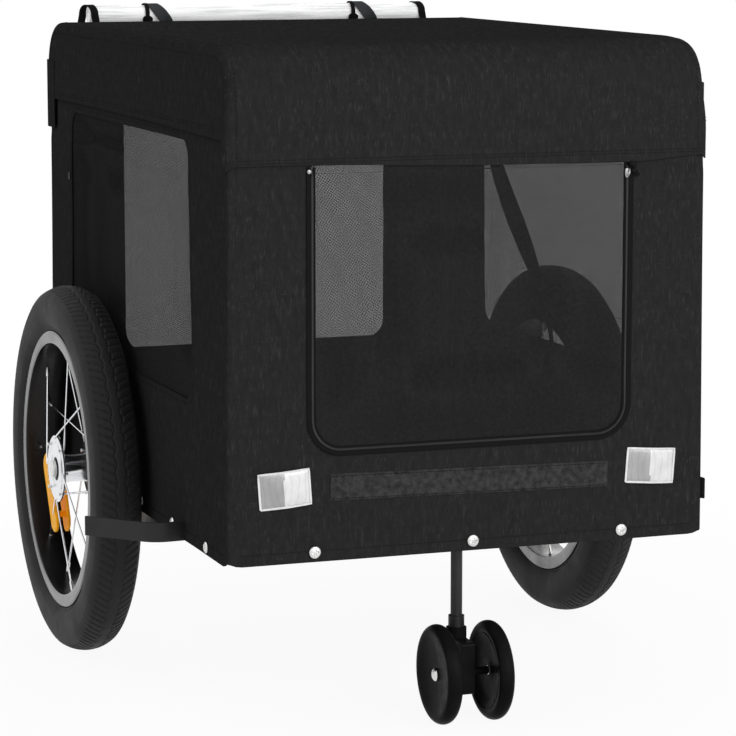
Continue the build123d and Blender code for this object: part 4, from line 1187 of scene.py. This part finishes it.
bends = ((-0.001, 0.006), (0.0030, 0.001), (0.0040, 0.008), (0.0014, 0.020))
loop = smooth_line([(edge + a, FRONT + b, LOW_TAB) for a, b in bends], 16)
tabs.add(*swept(loop, flat(0.021, WEB), (0, 0, 1)))
tabs.make("fastening_tabs", BINDING, "cabin", "webbing")
SNAP_Y, SNAP_Z = FRONT + 0.605, 0.516
snaps = Soup()
for side in (1, -1):
    base = (side * (HALF + side_depth(SNAP_Y, SNAP_Z, side) + 0.0004), SNAP_Y, SNAP_Z)
    cap = [(0, 0.0044), (0.0006, 0.0046), (0.0012, 0.0040), (0.0014, 0.0026), (0.0011, 0.0016),
           (0.0014, 0.0002)]
    snaps.add(*turned(base, (side, 0, 0), cap, 28))
snaps.make("side_snaps", NYLON, "cabin", "black_plastic")

# ---- the strap inside the cabin ------------------------------------------------------
STRAP_X, STRAP_WIDTH = 0.226, 0.024
STRAP_TOP, STRAP_FOOT = 0.676, 0.209  # heights of its ends, at the roof and on the floor
STRAP_TOP_Y, STRAP_FOOT_Y = 0.190, -0.012
SLANT_LOW, SLANT_HIGH = 0.315, 0.595  # it slants forward between these heights
FACES_FRONT = 0.466  # the height at which it faces the front most


def strap_place(z):
    slant = smooth((z - SLANT_LOW) / (SLANT_HIGH - SLANT_LOW))
    return STRAP_X, STRAP_FOOT_Y + (STRAP_TOP_Y - STRAP_FOOT_Y) * slant, z


def strap_side(z):
    """The direction of its width. It twists away from the front above and below."""
    angle = radians(14 + 26 * smooth((z - FACES_FRONT) / 0.09) + 46 * smooth((FACES_FRONT - z) / 0.10))
    return cos(angle), sin(angle), 0


heights = np.linspace(STRAP_TOP, STRAP_FOOT, 60)
line = np.array([strap_place(z) for z in heights])
hanging = Soup().add(*swept(line, flat(STRAP_WIDTH, WEB), [strap_side(z) for z in heights]))
piece = hanging.make("inner_strap", DARK_WEB, "cabin", "webbing")


# ---- floor ---------------------------------------------------------------------------
CHANNEL = 0.004  # half width of a quilted channel


def channels(u, places):
    return sum(np.exp(-((u - c) / CHANNEL) ** 2) for c in places)


def build_floor_mat():
    low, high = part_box("floor_board")
    loop = rounded(corners_of(low.x, high.x, low.y, high.y), [0.012] * 4, 0.008)
    plain, faces = panel(loop, [], [], 0.010)
    x, y = plain.T
    gap = np.minimum(np.minimum(x - low.x, high.x - x), np.minimum(y - low.y, high.y - y))
    crown = np.sqrt(np.clip(1 - (1 - np.clip(gap / 0.004, 0, 1)) ** 2, 0, 1))
    sunk = np.clip(channels(x, (-0.115, 0.0, 0.115)) + channels(y, (-0.11, 0.11)), 0, 1)
    waves = ripple(x, y, 61, 0.09)
    height = 0.0003 + 0.0027 * crown - 0.0011 * sunk * (gap > 0.006) - 0.0003 * waves * (gap > 0.01)
    middle = (low.z + high.z) / 2
    top = np.column_stack([plain, middle + height])
    bottom = np.column_stack([plain, middle - 0.0003 - 0.0027 * crown])
    soup = Soup().add(np.vstack([top, bottom]), two_skins(faces, len(top)))
    mat = soup.make("floor_mat", WALL, "cabin", "floor_fabric", 60, plain)
    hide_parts("floor_board")


build_floor_mat()


# ---- road wheels ---------------------------------------------------------------------
TREAD_BLOCKS = 134


def tyre_surface(x, r, a):
    """Cross grooves that break the tread into blocks, and a zigzag groove each side of the middle."""
    p = a * TREAD_BLOCKS / (2 * pi)
    on_tread = smooth((0.0202 - np.abs(x)) / 0.0010) * (r > 0.19)
    saw = np.abs((p * 0.5) % 1 - 0.5) * 4 - 1
    away = np.abs(np.abs(x) - (0.0052 + 0.0014 * saw))
    zigzag = 1 - smooth((away - 0.0006) / 0.0006)
    phase = (p + np.abs(x) * 60 + np.where(x > 0, 0.5, 0)) % 1
    cross = (1 - smooth((np.abs(phase - 0.5) - 0.10) / 0.05)) * smooth((np.abs(x) - 0.0060) / 0.0006)
    shoulder = (1 - smooth((np.abs(phase - 0.5) - 0.10) / 0.08)) * smooth((np.abs(x) - 0.0195) / 0.001)
    shoulder = shoulder * smooth((r - 0.184) / 0.006) * (r < 0.1985)
    return r - on_tread * np.maximum(0.0012 * cross, 0.0008 * zigzag) - 0.0004 * shoulder


def tyre_profile():
    bead = 0.0189
    side = [(bead, 0.1434), (bead, 0.1520), (0.0193, 0.1540), (0.0208, 0.1558), (0.0224, 0.1580)]
    for t in np.linspace(0, 1, 13)[1:]:
        a = pi * (0.5 - t) * 0.83
        rib = 0.0005 if t in (0.25, 0.75) else 0
        side.append((0.0185 + 0.0075 * cos(a) + rib, 0.1765 - 0.0205 * sin(a)))
    side = [p for p in side if p[1] < 0.1962]
    r_arc = (0.018 ** 2 + 0.005 ** 2) / (2 * 0.005)
    tread = [(x, TYRE_RADIUS - r_arc + sqrt(r_arc ** 2 - x * x)) for x in np.linspace(0.0204, -0.0204, 37)]
    return side + tread + [(-x, r) for x, r in reversed(side)]


def spoke_ends():
    for flange in (-1, 1):
        for index in range(SPOKES // 2):
            at_hub = (0 if flange < 0 else SPOKE_STEP / 2) + index * SPOKE_STEP
            even = index % 2 == 0
            at_rim = at_hub + (SPOKE_STEP if even else -SPOKE_STEP)
            yield flange, even, at_hub, at_rim


def on_wheel(centre, x, radius, angle):
    return centre + Vector((x, radius * cos(angle), radius * sin(angle)))


SPOKE_HEAD = [(0, 0.0012), (0.0003, 0.0021), (0.0010, 0.0021), (0.0016, 0.0012)]
NIPPLE = [(-0.0015, 0.0020), (0.0005, 0.0023), (0.0015, 0.0020), (0.0110, 0.0019), (0.0125, 0.0012)]


def build_tyre_and_rim(side, name, body, centre):
    tyre = Soup().add(*lathe(tyre_profile(), TREAD_BLOCKS * 6, centre, tyre_surface))
    tyre = tyre.make(name + "_tyre_tread", RUBBER, body, "tyre_rubber", 28)
    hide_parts(name + "_tyre")

    w, t = RIM_HALF, RIM_RADIUS
    profile = [(w - 0.0024, t - 0.0105), (w - 0.0024, t - 0.0012), (w - 0.0017, t - 0.0003), (w - 0.0008, t),
               (w - 0.0001, t - 0.0010), (w, t - 0.0030), (w - 0.0003, t - 0.0080), (w, t - 0.0120),
               (w - 0.0006, t - 0.0135), (w - 0.0022, t - 0.0139), (0.0120, t - 0.0137), (0.0060, t - 0.0142)]
    rim = Soup().add(*lathe(mirrored(profile), 160, centre))
    rim = rim.make(name + "_rim_channel", RIM_PLATE, body, "bright_steel", 40)
    rim.data.materials.append(RIM_WELL_PAINTED_SHADE)
    # the faces of the rim's well take the darker copy of the plate: painted shade
    for polygon in rim.data.polygons:
        r = hypot(polygon.center.y - AXLE_Y, polygon.center.z - AXLE_Z)
        if r < t - 0.0132 and abs(polygon.center.x - side * WHEEL_X) < w - 0.001:
            polygon.material_index = 1
    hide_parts(name + "_rim")


def build_spokes(name, body, centre):
    wires, heads = Soup(), Soup()
    for flange, even, at_hub, at_rim in spoke_ends():
        outer = flange * (RIM_HALF + 0.001)
        inner = flange * (RIM_HALF - 0.003 - 0.001)
        plane, far = (outer, inner) if even else (inner, outer)
        hub_end = on_wheel(centre, plane, 0.0342, at_hub)
        rim_end = on_wheel(centre, flange * 0.004, RIM_RADIUS - 0.0125, at_rim)
        run = (rim_end - hub_end).normalized()
        through = Vector((1 if plane > far else -1, 0, 0))
        path = [hub_end - through * (abs(plane - far) + 0.0004), hub_end - through * 0.0012,
                hub_end - through * 0.0003 + run * 0.0004, hub_end + run * 0.0016,
                hub_end.lerp(rim_end, 0.5), rim_end]
        wires.add(*swept(path, ring(0.001, 8), run.cross(through)))
        heads.add(*turned(path[0] + through * 0.0002, -through, SPOKE_HEAD, 14))
        heads.add(*turned(rim_end, -run, NIPPLE, 12))
    spokes = wires.make(name + "_spoke_wires", CHROME, body, "bright_steel", 60)
    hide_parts(name + "_spokes")
    heads.make(name + "_spoke_nipples", SILVER, body, "bright_steel")


def build_hub(name, body, centre):
    f, x = FLANGE_RADIUS, RIM_HALF
    bore = 0.0063
    half = [(x - 0.0020, bore), (x - 0.0020, 0.0128), (x - 0.0004, 0.0134), (x, 0.0142), (x, 0.0165),
            (x - 0.0008, 0.0185), (x - 0.0006, 0.0300), (x - 0.0001, 0.0312), (x - 0.0001, f - 0.0012),
            (x - 0.0007, f), (x - 0.0023, f), (x - 0.0030, f - 0.0010), (x - 0.0030, 0.0215),
            (x - 0.0042, 0.0178), (x - 0.0075, 0.0163), (0.0050, 0.0152)]
    hub = Soup().add(*lathe(mirrored(half), 96, centre))
    hub = hub.make(name + "_hub_shell", CHROME, body, "bright_steel", 40)
    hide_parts(name + "_hub")
    seal = [(x - 0.0016, bore + 0.0003), (x - 0.0016, 0.0126), (x - 0.0006, 0.0122), (x - 0.0003, 0.0110),
            (x - 0.0009, bore + 0.0006)]
    seals = Soup()
    for sign in (1, -1):
        seals.add(*lathe([(sign * a, b) for a, b in (seal if sign > 0 else reversed(seal))], 48, centre))
    seals.make(name + "_hub_seals", NYLON, body, "black_plastic")


def build_axle(side, name):
    axle_low, axle_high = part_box(name + "_axle")
    inner_end, outer_end = sorted((axle_low.x, axle_high.x), key=abs)
    length = abs(outer_end - inner_end)
    rod = [(0, 0.0060), (length - 0.0055, 0.0060), (length - 0.0010, 0.0058), (length, 0.0048)]
    fixed = Soup().add(*turned((inner_end, AXLE_Y, AXLE_Z), (side, 0, 0), rod, 32))
    washer = (outer_end - side * 0.0040, AXLE_Y, AXLE_Z)
    fixed.add(*turned(washer, (side, 0, 0), [(0, 0.0099), (0.0010, 0.0099)], 40))
    hexes = [(-0.0030, 0.0094), (-0.0024, 0.0098), (-0.0008, 0.0098), (-0.0002, 0.0090)]
    fixed.add(*turned((outer_end, AXLE_Y, AXLE_Z), (side, 0, 0), hexes, 6))
    axle = fixed.make(name + "_axle_and_nut", SILVER, "cabin", "bright_steel")
    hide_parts(name + "_axle")


def build_reflectors(side, name, body, centre):
    """Two amber lenses between the flanges, each a rounded oblong with a raised rim."""
    tilt = Vector((0, 0.46, 0.89)).normalized()
    across = Vector((0, 0.89, -0.46)).normalized()
    middle = centre + Vector((0, 0.049, -0.036))
    outline = rounded([(-0.046, -0.012), (0.046, -0.0145), (0.046, 0.0145), (-0.046, 0.012)],
                      [0.0115, 0.014, 0.014, 0.0115], 0.003)
    levels = [(1.0, -0.0018), (1.0, 0.0004), (0.97, 0.0012), (0.90, 0.0014), (0.86, 0.0010), (0.5, 0.0015),
              (0.02, 0.0017)]
    lenses, backs = Soup(), Soup()
    for offset, facing in ((0.0150, 1), (0.0005, -1)):
        verts = []
        for scale, out in levels:
            shift = Vector((side * (offset + facing * out), 0, 0))
            verts += [middle + tilt * (a * scale) + across * (b * scale) + shift for a, b in outline]
        lenses.add(verts, tube_faces(len(levels), len(outline)))
    for along in (-0.026, 0.026):
        place = middle + tilt * along + Vector((side * 0.0077, 0, 0))
        backs.add(*box_at(place, (1, 0, 0), tilt, (0.0125, 0.006, 0.005)))
    # the lenses and their clips both carry the amber lens's painted glow
    lenses.make(name + "_reflector_lenses", AMBER, body, "black_plastic")
    backs.make(name + "_reflector_clips", AMBER, body, "black_plastic")


for side, name in SIDES:
    body, centre = name + "_wheel", Vector((side * WHEEL_X, AXLE_Y, AXLE_Z))
    build_tyre_and_rim(side, name, body, centre)
    build_spokes(name, body, centre)
    build_hub(name, body, centre)
    build_axle(side, name)
    build_reflectors(side, name, body, centre)

# ---- caster --------------------------------------------------------------------------
for side, name in SIDES:
    low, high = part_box(name + "_caster_wheel")
    centre = Vector(((low.x + high.x) / 2, (low.y + high.y) / 2, (low.z + high.z) / 2))
    radius, half = (high.z - low.z) / 2, (high.x - low.x) / 2
    inner_face = abs(centre.x) - half + 0.0056  # the same for both wheels
    tread = [(half * cos(t), radius - 0.0068 + 0.0068 * sin(t)) for t in np.linspace(0.05, pi - 0.05, 22)]
    inner = [(-half + 0.0004, radius - 0.0100), (-half + 0.0012, radius - 0.0114),
             (-half + 0.0020, radius - 0.0122), (-half + 0.0016, radius - 0.0134),
             (-half + 0.0030, radius - 0.0165), (-half + 0.0050, radius - 0.0205), (-half + 0.0061, 0.0240),
             (-half + 0.0064, 0.0160), (-half + 0.0062, 0.0090), (-half + 0.0056, 0.0072),
             (-half + 0.0056, 0.0041)]
    outer = [(half - 0.0046, 0.0041), (half - 0.0044, 0.0110), (half - 0.0040, 0.0180),
             (half - 0.0031, 0.0260), (half - 0.0019, 0.0335), (half - 0.0008, 0.0385),
             (half - 0.0003, 0.0410)]
    profile = [(side * x, r) for x, r in tread + inner + outer]
    wheel = Soup().add(*lathe(profile, 128, centre))
    wheel = wheel.make(name + "_caster_tread", CASTER_NYLON, "caster_wheels", "black_plastic", 30)
    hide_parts(name + "_caster_wheel")
caps = Soup()
axle_low, axle_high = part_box("caster_axle")
caster_y, caster_z = (axle_low.y + axle_high.y) / 2, (axle_low.z + axle_high.z) / 2
dome = [(0, 0.0066), (0.0014, 0.0068), (0.0024, 0.0062), (0.0034, 0.0046), (0.0039, 0.0024), (0.0040, 0.0002)]
spacer = [(0, 0.0040), (0.0004, 0.0046), (0.0060, 0.0046)]
for side in (1, -1):
    for x, profile, sides in ((abs(axle_high.x), dome, 32), (inner_face, spacer, 24)):
        caps.add(*turned((side * (x - 0.0012), caster_y, caster_z), (side, 0, 0), profile, sides))
caps.make("caster_axle_caps", SILVER, "caster_wheels", "bright_steel")
stem_low, stem_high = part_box("caster_stem")
housing_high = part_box("caster_housing")[1]
stem_y = (stem_low.y + stem_high.y) / 2
profile = [(0, 0.0092), (0.0003, 0.0096), (0.0011, 0.0096), (0.0014, 0.0090)]
washer = Soup().add(*turned((0, stem_y, housing_high.z - 0.0006), (0, 0, 1), profile, 48))
washer.make("caster_stem_washer", NYLON, "cabin", "black_plastic")

# ---- rolled clear cover --------------------------------------------------------------
roll_low, roll_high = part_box("weather_cover")
roll_y, roll_z = (roll_low.y + roll_high.y) / 2, (roll_low.z + roll_high.z) / 2
ROLL = (roll_high.z - roll_low.z) / 2
ROLL_HEART = 0.0034  # radius of the roll's innermost turn


def spiral(x0, x1, count, start, turns, r0, r1, thickness, wobble):
    """A sheet rolled about the cover's axis, as a closed solid."""
    n = round(turns * 40)
    xs = np.linspace(x0, x1, count)
    rows = []
    for face in (0, 1):
        grid = []
        for k in range(n + 1):
            a = start + 2 * pi * turns * k / n
            r = r0 + (r1 - r0) * (k / n) ** 0.55 + face * thickness
            wave = 1 + wobble * np.sin(xs * 61 + a * 0.5) * (k / n) + wobble * 0.6 * np.sin(xs * 143 + a)
            grid.append(np.stack([xs, roll_y + r * wave * cos(a), roll_z + r * wave * sin(a)], 1))
        rows.append(np.array(grid))
    return np.concatenate([rows[0].reshape(-1, 3), rows[1].reshape(-1, 3)]), closed_grid(n + 1, count, True)


turns = 4.4  # chosen, not seen
roll_ends = (roll_low.x + 0.0080, roll_high.x - 0.0090)
sheet = Soup().add(*spiral(*roll_ends, 70, -0.9, turns, ROLL_HEART, ROLL - 0.0006, 0.0005, 0.016))
vinyl = sheet.make("rolled_clear_cover", VINYL, "cabin", "clear_film", 60)
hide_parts("weather_cover")
ends = Soup()
for x0 in (roll_low.x + 0.0085, roll_high.x - 0.0160):
    r = ROLL + 0.0004
    line = [(x0 - 0.0064, roll_y + r, roll_z - 0.95 * r), (x0 - 0.0052, roll_y + r, roll_z - 0.4 * r)]
    line += [(x0 - 0.0044 * cos(a), roll_y + r * cos(a), roll_z + r * sin(a)) for a in np.linspace(0, pi, 25)]
    line += [(x0 + 0.0052, roll_y - r, roll_z - 0.4 * r), (x0 + 0.0064, roll_y - r, roll_z - 0.95 * r)]
    ends.add(*swept(line, flat(0.0088, WEB), (1, 0, 0)))
ends.make("rolled_cover_binding", BINDING, "cabin", "webbing", 60)

strap_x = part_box("cover_straps")[1].x - 0.0125
TIE_LEAN = 0.017 / 2 ** 0.8  # how far a tie leans sideways down the roll's front
ties, knots = Soup(), Soup()
for x in (-strap_x - 0.0085, strap_x - 0.0120):
    r = ROLL + 0.0012
    line = [(x, y_rear + 0.0030, roll_z - 0.026), (x, y_rear + 0.0040, roll_z - 0.016)]
    for a in np.radians([-28, 5, 35, 62, 90, 112, 134, 156, 178, 200, 222, 236]):
        shift = TIE_LEAN * (1 - sin(a)) if a > pi / 2 else 0
        line.append((x + shift, roll_y + r * cos(a), roll_z + r * sin(a)))
    line = smooth_line(line, 70)
    ties.add(*swept(line, flat(0.0140, WEB), (1, 0, 0)))
    arc = np.radians(np.linspace(-40, 218, 40))
    loop = [(x - 0.0072, roll_y + (r + 0.0002) * cos(a), roll_z + (r + 0.0002) * sin(a)) for a in arc]
    knots.add(*swept(loop, flat(0.0050, 0.0018), (1, 0, 0)))
    upper = Vector((x - 0.0070, roll_y - r - 0.0010, roll_z - 0.0072))
    lower = Vector((x, y_rear + 0.0058, roll_z - 0.0185))
    for place in (upper, lower):
        for turn in range(3):
            loop = [(place.x + 0.0048 * cos(t), place.y + 0.0012 + 0.0016 * sin(2 * t + turn),
                     place.z - 0.0022 * (turn - 1) + 0.0030 * sin(t)) for t in np.linspace(0, 2 * pi, 22)]
            knots.add(*swept(loop, flat(0.0036, 0.0016), (0, 1, 0.2)))
tie_piece = ties.make("roll_ties", GREY_WEB, "cabin", "webbing")
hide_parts("cover_straps")
knots.make("roll_tie_knots", BINDING, "cabin", "webbing")

# ---- better materials on the CAD parts that stay --------------------------------------
for name, ob in nodes.items():
    if ob.hide_render:
        continue
    slots = ob.data.materials
    wanted = NYLON if name in ("caster_housing", "caster_axle") else STEEL
    slots.clear()
    slots.append(wanted)

# ---- camera, light and floor ---------------------------------------------------------
CAMERA_PLACE, CAMERA_TILT, CAMERA_TURN, LENS = (-1.1215, -3.1318, 0.8182), 81.461, -19.861, 149.5
WORLD_LIGHT = 0.52
LAMP_AIM = (0, 0.05, 0.35)
# name, place, size and power
LAMPS = (("key", (0.9, -3.2, 1.5), 2.2, 66), ("fill", (-3.2, -1.0, 1.8), 2.4, 5),
         ("overhead", (-2.2, 0.4, 2.9), 2.4, 15), ("back", (1.2, 3.2, 1.8), 2.2, 34))


def set_stage():
    camera = bpy.data.objects.new("camera", bpy.data.cameras.new("camera"))
    camera.location = CAMERA_PLACE
    camera.rotation_euler = (radians(CAMERA_TILT), 0, radians(CAMERA_TURN))
    camera.data.lens, camera.data.sensor_width = LENS, 36
    camera.data.clip_end = 200
    scene.collection.objects.link(camera)
    scene.camera = camera
    scene.view_settings.view_transform = "Standard"

    world = bpy.data.worlds.new("studio")
    scene.world = world
    world.use_nodes = True
    tree = world.node_tree
    path = tree.nodes.new("ShaderNodeLightPath")
    add = tree.nodes.new("ShaderNodeMath")
    add.operation, add.use_clamp = "ADD", True
    more = tree.nodes.new("ShaderNodeMath")
    more.operation, more.use_clamp = "ADD", True
    tree.links.new(path.outputs["Is Camera Ray"], add.inputs[0])
    tree.links.new(path.outputs["Is Glossy Ray"], add.inputs[1])
    tree.links.new(add.outputs[0], more.inputs[0])
    tree.links.new(path.outputs["Is Transmission Ray"], more.inputs[1])
    seen, lit, mix = (tree.nodes.new("ShaderNode" + k) for k in ("Background", "Background", "MixShader"))
    seen.inputs[0].default_value, seen.inputs[1].default_value = (1, 1, 1, 1), 1.0
    lit.inputs[0].default_value, lit.inputs[1].default_value = (1, 1, 1, 1), WORLD_LIGHT
    tree.links.new(more.outputs[0], mix.inputs[0])
    tree.links.new(lit.outputs[0], mix.inputs[1])
    tree.links.new(seen.outputs[0], mix.inputs[2])
    tree.links.new(mix.outputs[0], tree.nodes["World Output"].inputs[0])

    for name, place, size, power in LAMPS:
        lamp = bpy.data.lights.new(name, "AREA")
        lamp.size, lamp.energy = size, power
        ob = bpy.data.objects.new(name, lamp)
        ob.location = place
        ob.rotation_euler = (Vector(LAMP_AIM) - Vector(place)).to_track_quat("-Z", "Y").to_euler()
        scene.collection.objects.link(ob)

    floor = Finish("studio_floor", Roughness=0.9, Specular_IOR_Level=0.1)
    floor.set("Base Color", floor.ramp(floor.noise([3.0] * 3, 3.0), [(0.3, 0.86), (0.7, 0.88)]))
    tree = floor.tree
    where = floor.node("TexCoord").outputs["Object"]
    reach = floor.node("VectorMath", {0: where}, operation="LENGTH").outputs["Value"]
    fade = {"Value": reach, "From Min": 0.45, "From Max": 1.3, "To Min": 0.93}
    away = floor.node("MapRange", fade, interpolation_type="SMOOTHSTEP").outputs[0]
    rays = floor.node("LightPath")
    rest = floor.math("MAXIMUM", rays.outputs["Is Camera Ray"], rays.outputs["Is Glossy Ray"])
    fac = floor.math("MULTIPLY", away, rest)
    glow = floor.node("Emission", {"Color": (1, 1, 1, 1), "Strength": 1.0}).outputs[0]
    mixed = floor.node("MixShader", {0: fac, 1: floor.shader.outputs[0], 2: glow}).outputs[0]
    tree.links.new(mixed, tree.nodes["Material Output"].inputs[0])
    me = bpy.data.meshes.new("floor")
    n = 64
    me.from_pydata([(x, y, 0) for x, y in ring(40, n)], [], [tuple(range(n))])
    me.materials.append(floor.material)
    ground = bpy.data.objects.new("floor", me)
    scene.collection.objects.link(ground)


set_stage()
